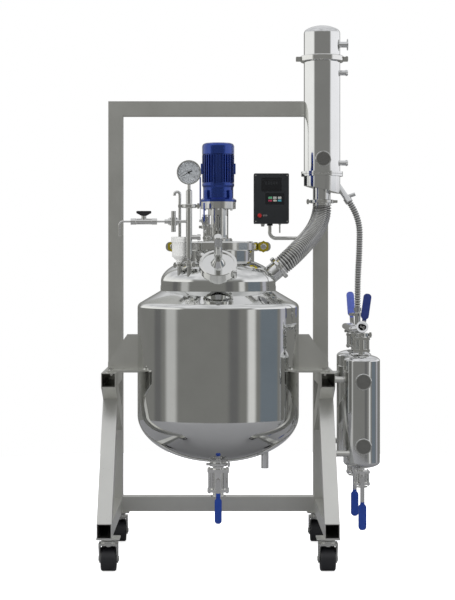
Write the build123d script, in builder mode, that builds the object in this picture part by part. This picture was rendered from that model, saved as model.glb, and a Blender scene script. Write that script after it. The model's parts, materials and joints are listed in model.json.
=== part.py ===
from build123d import *

import os
from collections import namedtuple
from math import atan, atan2, cos, degrees, pi, radians, sin, sqrt, tan

os.makedirs("parts", exist_ok=True)

# A jacketed stainless steel reactor of about 100 litres on a wheeled stand. Lengths are in
# millimetres. Places are given from the vessel's upright axis: x to the right, y to the
# rear, z above the floor. The row's own origin is under the middle of the whole footprint.

# Clearances
RUN = 0.05  # a shaft or stem in its bore, on the radius
SEAT = 0.05  # flat faces that lie on each other
CURVE = 0.2  # curved faces that lie on each other
GAP = 0.3  # faces that move past each other

# Stand of square tube
TUBE = 60.0
TUBE_WALL = 3.0
PORTAL_TUBE = 64.0
RAIL_X = 456.5
POST_FRONT = 317.0
PORTAL_TOP = 1961.5
LOWER_FRONT = -376.0
UPPER_FRONT = -134.0
UPPER_TOP = 785.0
BRACE_DEPTH = 78.0
BRACE_SLOPE = 26.4
LEG_MEETS = 112.0  # from the brace's front end back to the leg's front face

# Swivel casters
WHEEL_R = 50.0
WHEEL_W = 62.0
CASTER_HEIGHT = 139.0
CASTER_INSET = 14.5  # the casters' centres lie this far inside the rails' centres
CASTER_TRAIL = 20.0
PLATE_W = 94.0
PLATE_D = 90.0
PLATE_T = 5.0
RACE_R = 29.0
RACE_T = 8.0
CROWN_T = 9.0
CROWN_D = 62.0
FORK_T = 6.0
FORK_FOOT_R = 18.0
AXLE_R = 6.0
AXLE_HEAD_R = 10.0
AXLE_HEAD_T = 3.0
KING_R = 6.0
KING_NUT_T = 7.0
HUB_R_WHEEL = 14.0
WEB_R = 38.0
WEB_DEPTH = 6.0
TREAD_ROUND = 5.0

# Vessel: outer cladding, jacket wall, inner vessel
CLAD_R = 341.5
CLAD_T = 2.0
CLAD_TOP_R = 244.0
JACKET_R = 290.0
JACKET_T = 3.0
JACKET_TOP = 1040.0
VESSEL_R = 240.0
VESSEL_T = 4.0
TANGENT_Z = 603.0
CONE_SLOPE = 30.3
RING_R = 244.5
RING_BOTTOM = 1126.0
RING_TOP = 1147.0
KNUCKLE_R = 25.0
OUTLET_R = 23.0
OUTLET_BORE = 19.0
OUTLET_END = 390.0
STUB_R = 16.0
STUB_BORE = 13.0
DRAIN_X = 198.0
DRAIN_END = 373.0
INLET_Z = 960.0
INLET_REACH = 60.0

# Lugs that hang the vessel on the upper rails
LUG_PLATE_T = 8.0
LUG_PLATE_D = 194.0
LUG_OUTER_X = 467.0
GUSSET_T = 10.0
GUSSET_TOP = 941.0
GUSSET_TOP_X = 385.0
GUSSET_FOOT = 30.0
LUG_BOLT_R = 6.0
LUG_BOLT_X = 448.0
LUG_BOLT_Y = 66.0
WASHER_T = 2.5

# Head, neck and lid
HEAD_R = 243.0
HEAD_T = 4.0
HEAD_TANGENT = 1165.0
HEAD_RISE = 108.0
NECK_R = 152.4
NECK_T = 3.0
NECK_TOP = 1308.0
NECK_FLANGE_R = 162.0
NECK_FLANGE_T = 8.0
LID_GASKET_T = 4.0
LID_FLANGE_T = 12.0
LID_RAISE = 10.0
BAND_T = 8.0
BAND_LIP = 6.5
BAND_CHAMFER = 4.0
EAR_REACH = 221.0
EAR_HEIGHT = 40.0
EAR_DEPTH = 34.0
EAR_SPLIT = 6.0
BAND_BOLT_X = 191.0
BAND_BOLT_R = 12.0
BAND_NUT_R = 25.0
BAND_NUT_T = 16.0
BAND_HEAD_T = 9.0
BAND_BOLT_TIP = 8.0

# Charging port at the front of the head
PORT_TILT = 47.0
PORT_Y = -240.0
PORT_Z = 1245.0
PORT_DEPTH = 150.0
PORT_PIPE_R = 63.5
PORT_PIPE_T = 2.5
PORT_FLANGE_R = 70.0
PORT_FLANGE_T = 12.0
PORT_GASKET_T = 2.0
PORT_LIP = 5.0
PORT_BAND_T = 8.0
PORT_EAR = 10.0
PORT_EAR_TURN = -38.0
PORT_CAP_NUT_R = 8.0
PORT_CAP_NUT_T = 10.0
COLLAR_R = 31.0
COLLAR_T = 25.0
POST_R = 17.0
POST_REACH = 146.0

# Agitator drive on the lid
LANTERN_R = 43.0
LANTERN_T = 6.0
LANTERN_FOOT_R = 60.0
LANTERN_FOOT_T = 27.0
LANTERN_HEIGHT = 136.0
LANTERN_FLANGE_R = 74.0
LANTERN_FLANGE_T = 31.0
WINDOW_W = 19.0
WINDOW_H = 84.0
WINDOWS = 6
WINDOW_TURN = 30.0
MOTOR_R = 68.0
MOTOR_CORE_R = 60.0
BELL_H = 79.0
BELL_LIP_R = 77.0
BELL_LIP_T = 9.0
BELL_WAIST_R = 64.0
BELL_RIB_H = 40.0
PAD_X = 66.0
PAD_H = 44.0
FIN_BODY_H = 123.0
FINS = 34
FIN_T = 3.2
COWL_H = 47.0
COWL_ROUND = 12.0
COWL_T = 2.0
VENTS = 12
TERMINAL_BOX = (92.0, 34.0, 78.0)
SHAFT_R = 12.5
SHAFT_BOTTOM = 530.0
COUPLING_R = 21.0
COUPLING_H = 48.0
SEAL_R = 30.0
SEAL_H = 46.0
HUB_R = 24.0
HUB_H = 44.0
BLADE_REACH = 120.0
BLADE_H = 46.0
BLADE_T = 4.0
BLADE_PITCH = 45.0
IMPELLER_GAP = 260.0

# Tri-clamp sizes: pipe radius, bore radius, flange radius
Pipe = namedtuple("Pipe", "radius bore flange")
MINI = Pipe(9.5, 7.9, 12.6)
GAUGE_PIPE = Pipe(12.7, 11.1, 25.2)
HOSE_PIPE = Pipe(13.5, 11.1, 19.0)
VAPOUR_PIPE = Pipe(38.1, 36.5, 45.5)
FLANGE_T = 3.2
SEAL_T = 1.6
CLAMP_LIP = 3.4
CLAMP_WALL = 7.0
CLAMP_EAR = 14.0
CLAMP_EAR_T = 9.0
WING_SPAN = 22.0
WING_BOLT_R = 3.5

# Instrument column, gauge and feed cup
COLUMN_X = -120.0
COLUMN_Y = -195.0
COLUMN_JOINT_Z = 1236.0
COLUMN_TOP_Z = 1477.0
BRANCH_Z = 1413.6
BRANCH_R = 8.0
CAP_PORT_Z = 1349.0
CAP_PORT_END = -72.0
GAUGE_Z = 1615.0
GAUGE_R = 50.0
GAUGE_DEPTH = 34.0
GAUGE_RIM = 6.0
GAUGE_STEM_R = 7.0
GLASS_T = 2.0
POINTER_R = 1.5
DIAL_T = 1.5
NEEDLE_LENGTH = 38.0
NEEDLE_TAIL = 14.0
NEEDLE_ANGLE = 208.0
GAUGE_SHOULDER = 70.0
CUP_X = -159.0
CUP_Y = -162.0
CUP_JOINT_Z = 1234.0
CUP_R = 32.0
CUP_WALL = 4.0
CUP_NECK_R = 16.0
CUP_NECK_H = 20.0
CUP_CONE_H = 16.0
CUP_H = 76.0
CUP_LID_R = 35.5
CUP_LID_H = 19.0
VENT_R = 6.0
VENT_H = 190.0
VENT_BEND = 11.0

# Sampling line
CROSS_X = -184.0
CROSS_W = 45.0
CROSS_R = 16.0
CROSS_CAP_R = 9.5
CROSS_CAP_H = 27.0
LINE_R = 4.0
NUT_R = 9.0
NUT_L = 14.0
NEEDLE_VALVE_X = -306.0
NEEDLE_VALVE_W = 108.0
NEEDLE_NUT_L = 20.0
NEEDLE_NUT_R = 13.0
NEEDLE_BODY_R = 12.0
NEEDLE_BONNET_R = 10.0
NEEDLE_BONNET_H = 23.0
NEEDLE_SPINDLE_R = 4.0
T_HANDLE_W = 61.0
T_HANDLE_H = 20.0
T_HANDLE_T = 15.0
LINE_TAIL = 48.0
LINE_DROP = 60.0

# Ball valves: pipe radius, bore, ball radius, body radius, cap plate width, depth, place and
# thickness along the pipe, bolt radius, half length, stem reach, end flange radius
Valve = namedtuple("Valve", "pipe bore ball body width depth cap_at cap_t bolt half stem flange")
OUTLET_VALVE = Valve(OUTLET_R, OUTLET_BORE, 26.0, 33.0, 92.0, 70.0, 36.0, 12.0, 5.0, 68.0, 46.0, 32.0)
RECEIVER_VALVE = Valve(12.7, 11.0, 16.0, 21.5, 66.0, 50.0, 20.0, 9.0, 4.0, 40.0, 33.0, 25.2)
LID_VALVE = Valve(8.5, 6.5, 10.0, 13.5, 30.0, 28.0, 11.0, 5.0, 2.0, 26.0, 20.0, 12.6)

# Levers: blade width, thickness, grip start, end, width and thickness, stem radius
Lever = namedtuple("Lever", "blade thick start end width grip stem")
OUTLET_LEVER = Lever(18.0, 3.0, 70.0, 177.0, 30.0, 8.0, 6.0)
RECEIVER_LEVER = Lever(18.0, 3.0, 105.0, 214.0, 33.0, 8.0, 5.0)
LONG_LID_LEVER = Lever(10.0, 2.0, 62.0, 188.0, 16.0, 6.0, 3.5)
SHORT_LID_LEVER = Lever(10.0, 2.0, 42.0, 121.0, 16.0, 6.0, 3.5)
OUTLET_VALVE_Z = OUTLET_END - OUTLET_VALVE.half - SEAT
LID_VALVE_1 = (-56.0, 84.0, 1424.0)
LID_VALVE_2 = (-38.0, -84.0, 1374.0)

# Control box and its arm
BOX_X = 235.5
BOX_Y = 318.0
BOX_BOTTOM = 1417.0
BOX_W = 155.0
BOX_H = 222.0
BOX_D = 78.0
BOX_ROUND = 5.0
PANEL_W = 88.0
PANEL_H = 60.0
PANEL_T = 2.0
PANEL_Z = 1590.0
BUTTON_X = 183.0
BUTTON_Z = 1452.0
BUTTON_R = 9.0
BUTTON_OUT = 7.0
BUTTON_TRAVEL = 3.0
ARM_R = 8.0
ARM_X = 230.0
ARM_Y = 340.0
ARM_GRIP = 20.0
ARM_Z = 1353.0
ARM_BEND = 28.0

# Condenser on the right post
COND_X = 455.0
COND_R = 79.5
COND_T = 2.5
COND_FLANGE_R = 91.0
COND_FLANGE_T = 9.5
COND_BASE_Z = 1632.5
COND_JOINT_Z = 2136.0
COND_JOINT_R = 88.0
COND_TANGENT = 2247.0
COND_RISE = 36.0
COND_KNUCKLE = 22.0
SKIRT_LEFT_Z = 1582.0
SKIRT_RIGHT_Z = 1546.0
COND_NECK_Z = 1512.0
COND_REAR_GAP = 2.0
PORT_REACH = 34.0
TOP_PORT_Z = 2200.0
WATER_OUT_Z = 2076.0
WATER_IN_Z = 1681.0
WATER_R = 11.0
WATER_BORE = 8.5
COND_SIGHT_Z = 1694.0
FEED_BORE = 9.5
FEED_DEPTH = 6.0
SIGHT_R = 34.0
SIGHT_BORE = 26.0
SIGHT_REACH = 12.0
SIGHT_GLASS_T = 6.0
TUBE_PLATE_T = 8.0
BUNDLE_R = 10.0
BUNDLE_PITCH_R = 46.0
BUNDLE_HEADER_R = 66.0
SADDLE_W = 56.0
SADDLE_H = 40.0
SADDLE_Z = (1730.0, 1905.0)

# Drain fitting under the condenser and its hose
DRAIN_FITTING = (573.0, -24.0, 1508.0)  # x, y from the condenser's axis, z
DRAIN_AIM = (0.5, -0.35, -0.79)
DRAIN_FIRST_RUN = 85.0
DRAIN_LAST_RUN = 120.0
TAIL_L = 28.0
SLEEVE_L = 16.0
DRAIN_ELBOW = (12.0, 40.0, 245.0)  # from the riser's joint
DRAIN_PIPE_R = 12.7
DRAIN_PIPE_L = 92.0
DRAIN_CROSS_R = 8.0
DRAIN_CROSS_OUT = 42.0
HOSE_R = 14.0

# Vapour hose from the head to the condenser
VAPOUR_X = 226.0
VAPOUR_Y = 12.0
VAPOUR_Z = 1196.0
VAPOUR_AIM = (0.77, 0.05, 0.64)
VAPOUR_STUB = 42.0
VAPOUR_HOSE_R = 42.0
VAPOUR_HOSE_T = 3.0
VAPOUR_RUN_LOW = 85.0
VAPOUR_RUN_HIGH = 95.0
CUFF_L = 14.0

# Receivers at the right side
RECEIVER_X = 599.0
RECEIVER_R = 76.5
RECEIVER_T = 2.5
RECEIVER_FRONT_Y = -97.0
RECEIVER_REAR_Y = 266.0
RECEIVER_LOW = 414.0
RECEIVER_HIGH = 835.0
RECEIVER_RISE = 27.0
RECEIVER_SIGHTS = (485.0, 752.0)
MANIFOLD_OFFSET = 41.0
MANIFOLD_Y = 93.0
MANIFOLD_Z = 965.0
MANIFOLD_JOINT_Z = 1022.0
PIPE_R = 12.7
ELBOW_R = 13.5
MOUTH_TILT = 68.0
MOUTH_REACH = 34.0
MOUTH_R = 17.0
BRACKET_R = 13.0
BRACKET_HIGH_Z = 755.0
BRACKET_LOW_Z = 452.0
BRACKET_LOW_Y = (-140.0, 332.0)

# Heights and places that follow from the sizes above
RAIL_BOTTOM = CASTER_HEIGHT
LOWER_TOP = RAIL_BOTTOM + TUBE
UPPER_BOTTOM = UPPER_TOP - TUBE
POST_INNER = RAIL_X - PORTAL_TUBE / 2
POST_OUTER = RAIL_X + PORTAL_TUBE / 2
POST_REAR = POST_FRONT + PORTAL_TUBE
POST_MIDDLE = POST_FRONT + PORTAL_TUBE / 2
RAIL_OUTER = RAIL_X + TUBE / 2
CASTER_X = RAIL_X - CASTER_INSET
CASTER_FRONT_Y = LOWER_FRONT + PLATE_D / 2
CASTER_REAR_Y = POST_REAR - PLATE_D / 2
FORK_INNER = WHEEL_W / 2 + 1.5
FORK_OUTER = FORK_INNER + FORK_T
PLATE_BOTTOM = CASTER_HEIGHT - PLATE_T - SEAT
CROWN_TOP = PLATE_BOTTOM - 2 * RACE_T
CROWN_BOTTOM = CROWN_TOP - CROWN_T
LID_BOTTOM = NECK_TOP + LID_GASKET_T
LID_TOP = LID_BOTTOM + LID_FLANGE_T + LID_RAISE
BAND_LOW = NECK_TOP - NECK_FLANGE_T - BAND_LIP
BAND_HIGH = LID_BOTTOM + LID_FLANGE_T + BAND_LIP
BAND_Z = (BAND_LOW + BAND_HIGH) / 2
LANTERN_TOP = LID_TOP + LANTERN_FOOT_T + LANTERN_HEIGHT - LANTERN_FOOT_T
LANTERN_DECK = LANTERN_TOP + LANTERN_FLANGE_T
BELL_TOP = LANTERN_DECK + BELL_H
FIN_TOP = BELL_TOP + FIN_BODY_H
MOTOR_TOP = FIN_TOP + COWL_H
COND_Y = POST_FRONT - COND_FLANGE_R - COND_REAR_GAP
CLAMP_HALF = FLANGE_T + SEAL_T / 2
RECEIVER_TOP = RECEIVER_HIGH + RECEIVER_RISE
RECEIVER_BOTTOM = RECEIVER_LOW - RECEIVER_RISE
TOP_VALVE_Z = RECEIVER_TOP + RECEIVER_VALVE.half + SEAT
BOTTOM_VALVE_Z = RECEIVER_BOTTOM - RECEIVER_VALVE.half - SEAT
MANIFOLD_X = RECEIVER_X - MANIFOLD_OFFSET
BRACE_V = BRACE_DEPTH / cos(radians(BRACE_SLOPE))
PORT_N = Vector(0, -cos(radians(PORT_TILT)), sin(radians(PORT_TILT)))

# The origin lies under the middle of the footprint
LEFT_REACH = -(CASTER_X + PLATE_W / 2)
RIGHT_REACH = RECEIVER_X + RECEIVER_R
FRONT_REACH = LOWER_FRONT
REAR_REACH = CASTER_REAR_Y + CASTER_TRAIL + WHEEL_R
AXIS_X = -(LEFT_REACH + RIGHT_REACH) / 2
AXIS_Y = -(FRONT_REACH + REAR_REACH) / 2


# Planes and common shapes


def place(x, y, z):
    """A point of the model from its place beside, behind and above the vessel's foot."""
    return Vector(AXIS_X + x, AXIS_Y + y, z)


def level(z, x=0.0, y=0.0):
    """A level plane at height z, with its origin at x, y."""
    return Plane(origin=place(x, y, z), x_dir=(1, 0, 0), z_dir=(0, 0, 1))


def facing(y, x=0.0, z=0.0):
    """An upright plane that looks to the front, with x to the right and z up."""
    return Plane(origin=place(x, y, z), x_dir=(1, 0, 0), z_dir=(0, -1, 0))


def aside(x, y=0.0, z=0.0):
    """An upright plane that looks to the right, with y to the rear and z up."""
    return Plane(origin=place(x, y, z), x_dir=(0, 1, 0), z_dir=(1, 0, 0))


def spindle(x, y, z, along=(0, 0, 1), out=(1, 0, 0)):
    """A plane through an axis: its own y runs along the axis and its own x runs out of it."""
    side = Vector(*out).cross(Vector(*along))
    return Plane(origin=place(x, y, z), x_dir=Vector(*along).cross(side), z_dir=side)


def swung(plane, angle):
    """The same plane, turned in itself by an angle."""
    across = plane.x_dir * cos(radians(angle)) + plane.y_dir * sin(radians(angle))
    return Plane(origin=plane.origin, x_dir=across, z_dir=plane.z_dir)


def turned(profile, plane, arc=360):
    """A solid turned about a spindle, from a closed profile of radius and height."""
    corners = [here for here, after in zip(profile, profile[1:] + profile[:1]) if here != after]
    with BuildPart() as piece:
        with BuildSketch(plane):
            with BuildLine():
                Polyline(*corners, close=True)
            make_face()
        revolve(axis=Axis(plane.origin, plane.y_dir), revolution_arc=arc)
    return piece.part


def rod(plane, radius, low, high):
    """A round bar about a spindle, from low to high along it."""
    return turned([(0, low), (radius, low), (radius, high), (0, high)], plane)


def pipe(plane, radius, bore, low, high):
    """A round pipe about a spindle, from low to high along it."""
    return turned([(bore, low), (radius, low), (radius, high), (bore, high)], plane)


def tube(lower, upper, plane, width, wall):
    """An open-ended flat-sided tube in side view, from the ends of its two long edges."""
    start, end = Vector(*lower[0]), Vector(*lower[1])
    along = (end - start).normalized()
    inward = Vector(-along.Y, along.X) * wall
    over = along * 2 * width
    far_start, far_end = Vector(*upper[0]), Vector(*upper[1])
    with BuildPart() as piece:
        with BuildSketch(plane):
            with BuildLine():
                Polyline(start, end, far_end, far_start, close=True)
            make_face()
        extrude(amount=width / 2, both=True)
        with BuildSketch(plane):
            with BuildLine():
                Polyline(start + inward - over, end + inward + over,
                         far_end - inward + over, far_start - inward - over, close=True)
            make_face()
        extrude(amount=width / 2 - wall, both=True, mode=Mode.SUBTRACT)
    return piece.part


def clamp(joint, size, half=CLAMP_HALF, lip=CLAMP_LIP, wall=CLAMP_WALL, ear=CLAMP_EAR):
    """A hinged clamp round two flanges. The joint's own x points at the wing nut."""
    inner = size.radius + 1
    groove = size.flange + CURVE
    outer = groove + wall
    grip = half + SEAT
    top = grip + lip
    slope = min(lip, wall) / 2
    ring = [(inner, -top), (outer - slope, -top), (outer, slope - top), (outer, top - slope),
            (outer - slope, top), (inner, top), (inner, grip), (groove, grip),
            (groove, -grip), (inner, -grip)]
    body = turned(ring, joint)
    bolt_at = outer + ear - CLAMP_EAR_T / 2 - 1
    with BuildPart() as piece:
        add(body)
        for side in (-1, 1):
            with BuildSketch(joint):
                with Locations((side * (groove + 1 + (wall + ear) / 2), 0)):
                    RectangleRounded(wall + ear, 2 * top - 2 * slope, slope)
            extrude(amount=CLAMP_EAR_T, both=True)
        with BuildSketch(joint):
            with Locations((bolt_at, 0)):
                Circle(WING_BOLT_R)
            with Locations((-bolt_at, 0)):
                Circle(WING_BOLT_R)
        extrude(amount=CLAMP_EAR_T + 3, both=True)
        with BuildSketch(joint.offset(CLAMP_EAR_T)):
            with Locations((bolt_at, 0)):
                Rectangle(CLAMP_EAR_T, WING_SPAN)
                Rectangle(CLAMP_EAR_T / 3, WING_SPAN)
        extrude(amount=CLAMP_EAR_T / 2)
        with BuildSketch(joint.offset(1.5 * CLAMP_EAR_T)):
            for end in (-1, 1):
                with Locations((bolt_at, end * WING_SPAN * 0.36)):
                    Rectangle(CLAMP_EAR_T / 3, WING_SPAN * 0.28)
        extrude(amount=CLAMP_EAR_T)
    return piece.part


def stub(plane, size, low, high):
    """A pipe about a spindle that ends in a clamp flange at high."""
    return turned([(size.bore, low), (size.radius, low), (size.radius, high - FLANGE_T),
                   (size.flange, high - FLANGE_T), (size.flange, high), (size.bore, high)], plane)


def meet(p, p_slope, q, q_slope):
    """Where two lines of a side view cross, each given by a point and its rise per run."""
    x = (q[1] - p[1] + p_slope * p[0] - q_slope * q[0]) / (p_slope - q_slope)
    return (x, p[1] + p_slope * (x - p[0]))


def bowl(plane, radius, tangent, rise, end):
    """A solid of revolution with a dished end that stands past its tangent line by rise."""
    quarter = 90 if rise > 0 else -90
    with BuildPart() as piece:
        with BuildSketch(plane):
            with BuildLine():
                EllipticalCenterArc((0, tangent), radius, abs(rise), start_angle=0, arc_size=quarter)
                Polyline((0, tangent + rise), (0, end), (radius, end), (radius, tangent))
            make_face()
        revolve(axis=Axis(plane.origin, plane.y_dir))
    return piece.part


def dished(plane, radius, knuckle, tangent, rise, end):
    """A solid of revolution whose end has a knuckle arc and a flatter crown arc."""
    crown = ((radius - knuckle) ** 2 + rise ** 2 - knuckle ** 2) / (2 * (rise - knuckle))
    turn = degrees(atan2(crown - rise, radius - knuckle))
    with BuildPart() as piece:
        with BuildSketch(plane):
            with BuildLine():
                CenterArc((radius - knuckle, tangent), knuckle, 0, turn)
                CenterArc((0, tangent + rise - crown), crown, turn, 90 - turn)
                Polyline((0, tangent + rise), (0, end), (radius, end), (radius, tangent))
            make_face()
        revolve(axis=Axis(plane.origin, plane.y_dir))
    return piece.part


def capsule(plane, radius, low, high, rise):
    """A solid of revolution with a dished end past each tangent line."""
    with BuildPart() as piece:
        with BuildSketch(plane):
            with BuildLine():
                EllipticalCenterArc((0, low), radius, rise, start_angle=0, arc_size=-90)
                EllipticalCenterArc((0, high), radius, rise, start_angle=0, arc_size=90)
                Line((radius, low), (radius, high))
                Line((0, low - rise), (0, high + rise))
            make_face()
        revolve(axis=Axis(plane.origin, plane.y_dir))
    return piece.part


def bent(points, bend, radius):
    """A round bar along straight runs joined by arcs."""
    with BuildLine() as path:
        FilletPolyline(*points, radius=bend)
    with BuildPart() as piece:
        with BuildSketch(Plane(origin=path.line @ 0, z_dir=path.line % 0)):
            Circle(radius)
        sweep(path=path.line)
    return piece.part


def sight_port(plane, shell):
    """The outer form of a sight glass holder on a round shell, along the plane's y."""
    end = shell + SIGHT_REACH
    return turned([(0, shell * 0.8), (SIGHT_R - 5, shell * 0.8), (SIGHT_R - 5, end - 8), (SIGHT_R, end - 8),
                   (SIGHT_R, end - 1.5), (SIGHT_R - 1.5, end), (0, end)], plane)


def sight_bore(plane, shell):
    """The space that a sight glass and the view through it need."""
    end = shell + SIGHT_REACH
    seat = end - SIGHT_GLASS_T
    return turned([(0, shell * 0.7), (SIGHT_BORE, shell * 0.7), (SIGHT_BORE, seat), (SIGHT_BORE + 3, seat),
                   (SIGHT_BORE + 3, end + 1), (0, end + 1)], plane)


def valve_body(plane, size, stem_r, low_end, high_end):
    """A three-piece ball valve. Flow runs along the plane's y and the stem along its z."""
    cap_end = size.cap_at + size.cap_t
    across = Plane(origin=plane.origin, x_dir=plane.x_dir, z_dir=plane.y_dir)
    casing = turned([(size.bore, -size.half), (low_end, -size.half), (low_end, FLANGE_T - size.half),
                     (size.pipe, FLANGE_T - size.half), (size.pipe, -cap_end), (size.body, -cap_end),
                     (size.body, cap_end), (size.pipe, cap_end), (size.pipe, size.half - FLANGE_T),
                     (high_end, size.half - FLANGE_T), (high_end, size.half), (size.bore, size.half)], plane)
    with BuildPart() as piece:
        add(casing)
        for foot in (size.cap_at, -cap_end):
            with BuildSketch(across.offset(foot)):
                RectangleRounded(size.width, size.depth, size.bolt)
                Circle(size.pipe, mode=Mode.SUBTRACT)
            extrude(amount=size.cap_t)
        with BuildSketch(across):
            with GridLocations(size.width - 3.2 * size.bolt, size.depth - 3.2 * size.bolt, 2, 2):
                Circle(size.bolt)
        extrude(amount=cap_end + 0.8 * size.bolt, both=True)
        with BuildSketch(plane):
            Circle(stem_r + 5)
        extrude(amount=size.stem - 2)
        with Locations(plane.origin):
            Sphere(size.ball + RUN, mode=Mode.SUBTRACT)
        with BuildSketch(plane):
            Circle(stem_r + RUN)
        extrude(amount=size.stem + 1, mode=Mode.SUBTRACT)
    return piece.part


def valve_stem(plane, size, lever):
    """The ball of a valve with its bore, its stem and the nut that holds the lever."""
    seat = size.stem + lever.thick + 2 * SEAT
    ball_bore = rod(plane, size.bore, -size.ball - 1, size.ball + 1)
    with BuildPart() as piece:
        with BuildSketch(plane.offset(sqrt(size.ball**2 - lever.stem**2) - 0.5)):
            Circle(lever.stem)
        extrude(amount=seat - sqrt(size.ball**2 - lever.stem**2) + 0.5)
        with BuildSketch(plane.offset(seat)):
            RegularPolygon(1.7 * lever.stem, 6)
        extrude(amount=lever.stem)
        with Locations(plane.origin):
            Sphere(size.ball)
        add(ball_bore, mode=Mode.SUBTRACT)
    return piece.part


def valve_lever(plane, size, lever, turn):
    """A flat lever with a sleeve for the hand. It points along the valve's y, turned by turn."""
    flat = swung(plane, turn).offset(size.stem + SEAT)
    middle = (lever.start + lever.end) / 2
    with BuildPart() as piece:
        with BuildSketch(flat):
            Circle(lever.blade / 2 + 2)
            with Locations((0, lever.start / 2 + 10)):
                Rectangle(lever.blade, lever.start + 20)
            Circle(lever.stem + SEAT, mode=Mode.SUBTRACT)
        extrude(amount=lever.thick)
        with BuildSketch(flat.offset((lever.thick - lever.grip) / 2)):
            with Locations((0, middle)):
                RectangleRounded(lever.width, lever.end - lever.start, 0.45 * lever.width)
        extrude(amount=lever.grip)
    return piece.part


# Portal frame: two posts, a top bar mitred onto them and a crossbar between their feet
portal = facing(POST_MIDDLE)
low_bar = PORTAL_TOP - PORTAL_TUBE
with BuildPart() as portal_frame:
    add(tube([(-POST_INNER, RAIL_BOTTOM), (-POST_INNER, low_bar)],
             [(-POST_OUTER, RAIL_BOTTOM), (-POST_OUTER, PORTAL_TOP)], portal, PORTAL_TUBE, TUBE_WALL))
    mirror(about=aside(0))
    add(tube([(-POST_INNER + 2 * SEAT, low_bar), (POST_INNER - 2 * SEAT, low_bar)],
             [(-POST_OUTER + 2 * SEAT, PORTAL_TOP), (POST_OUTER - 2 * SEAT, PORTAL_TOP)],
             portal, PORTAL_TUBE, TUBE_WALL))
    add(tube([(SEAT - POST_INNER, RAIL_BOTTOM), (POST_INNER - SEAT, RAIL_BOTTOM)],
             [(SEAT - POST_INNER, RAIL_BOTTOM + PORTAL_TUBE), (POST_INNER - SEAT, RAIL_BOTTOM + PORTAL_TUBE)],
             portal, PORTAL_TUBE, TUBE_WALL))
portal_frame.part.label = "portal_frame"
export_step(portal_frame.part, "parts/portal_frame.step")


# Side rails: a lower and an upper one at each side, open at the front
rail_end = POST_FRONT - SEAT
with BuildPart() as side_rails:
    for front, low in ((LOWER_FRONT, RAIL_BOTTOM), (UPPER_FRONT, UPPER_BOTTOM)):
        add(tube([(front, low), (rail_end, low)], [(front, low + TUBE), (rail_end, low + TUBE)],
                 aside(RAIL_X), TUBE, TUBE_WALL))
    with BuildSketch(level(UPPER_TOP)):
        with Locations((LUG_BOLT_X, LUG_BOLT_Y), (LUG_BOLT_X, -LUG_BOLT_Y)):
            Circle(LUG_BOLT_R + CURVE)
    extrude(amount=-TUBE / 2, mode=Mode.SUBTRACT)
    mirror(about=aside(0))
side_rails.part.label = "side_rails"
export_step(side_rails.part, "parts/side_rails.step")


# Side struts: a brace from each upper rail down to the post, and a leg below it
fall = -tan(radians(BRACE_SLOPE))
brace_front = (UPPER_FRONT, UPPER_BOTTOM - SEAT)
brace_top = (UPPER_FRONT - BRACE_V / fall, UPPER_BOTTOM - SEAT)
brace_rear_low = (rail_end, brace_front[1] + fall * (rail_end - UPPER_FRONT))
brace_rear_high = (rail_end, brace_rear_low[1] + BRACE_V)
leg_foot = (LOWER_FRONT, LOWER_TOP + SEAT)
leg_head = (UPPER_FRONT + LEG_MEETS, brace_front[1] + fall * LEG_MEETS - SEAT)
leg_rise = (leg_head[1] - leg_foot[1]) / (leg_head[0] - leg_foot[0])
leg_heel = (LOWER_FRONT + TUBE / sin(atan(leg_rise)), leg_foot[1])
leg_back = meet(leg_heel, leg_rise, (brace_front[0], brace_front[1] - SEAT), fall)
with BuildPart() as side_struts:
    add(tube([brace_front, brace_rear_low], [brace_top, brace_rear_high],
             aside(RAIL_X), TUBE, TUBE_WALL))
    add(tube([leg_heel, leg_back], [leg_foot, leg_head], aside(RAIL_X), TUBE, TUBE_WALL))
    mirror(about=aside(0))
side_struts.part.label = "side_struts"
export_step(side_struts.part, "parts/side_struts.step")


# Lugs: a base plate on each upper rail and an upright gusset, cut to the round cladding
lug_top = UPPER_TOP + SEAT + LUG_PLATE_T
lug_root = CLAD_R - 30
clad_cut = rod(spindle(0, 0, 0), CLAD_R + CURVE, UPPER_TOP - 10, GUSSET_TOP + 10)
with BuildPart() as vessel_lugs:
    with BuildSketch(level(UPPER_TOP + SEAT)):
        with Locations(((lug_root + LUG_OUTER_X) / 2, 0)):
            RectangleRounded(LUG_OUTER_X - lug_root, LUG_PLATE_D, 6)
        with Locations((LUG_BOLT_X, LUG_BOLT_Y), (LUG_BOLT_X, -LUG_BOLT_Y)):
            Circle(LUG_BOLT_R + CURVE, mode=Mode.SUBTRACT)
    extrude(amount=LUG_PLATE_T)
    with BuildSketch(facing(0)):
        with BuildLine():
            Polyline((lug_root, lug_top), (LUG_OUTER_X, lug_top), (LUG_OUTER_X, lug_top + GUSSET_FOOT),
                     (GUSSET_TOP_X, GUSSET_TOP), (lug_root, GUSSET_TOP), close=True)
        make_face()
    extrude(amount=GUSSET_T / 2, both=True)
    add(clad_cut, mode=Mode.SUBTRACT)
    mirror(about=aside(0))
vessel_lugs.part.label = "vessel_lugs"
export_step(vessel_lugs.part, "parts/vessel_lugs.step")


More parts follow.
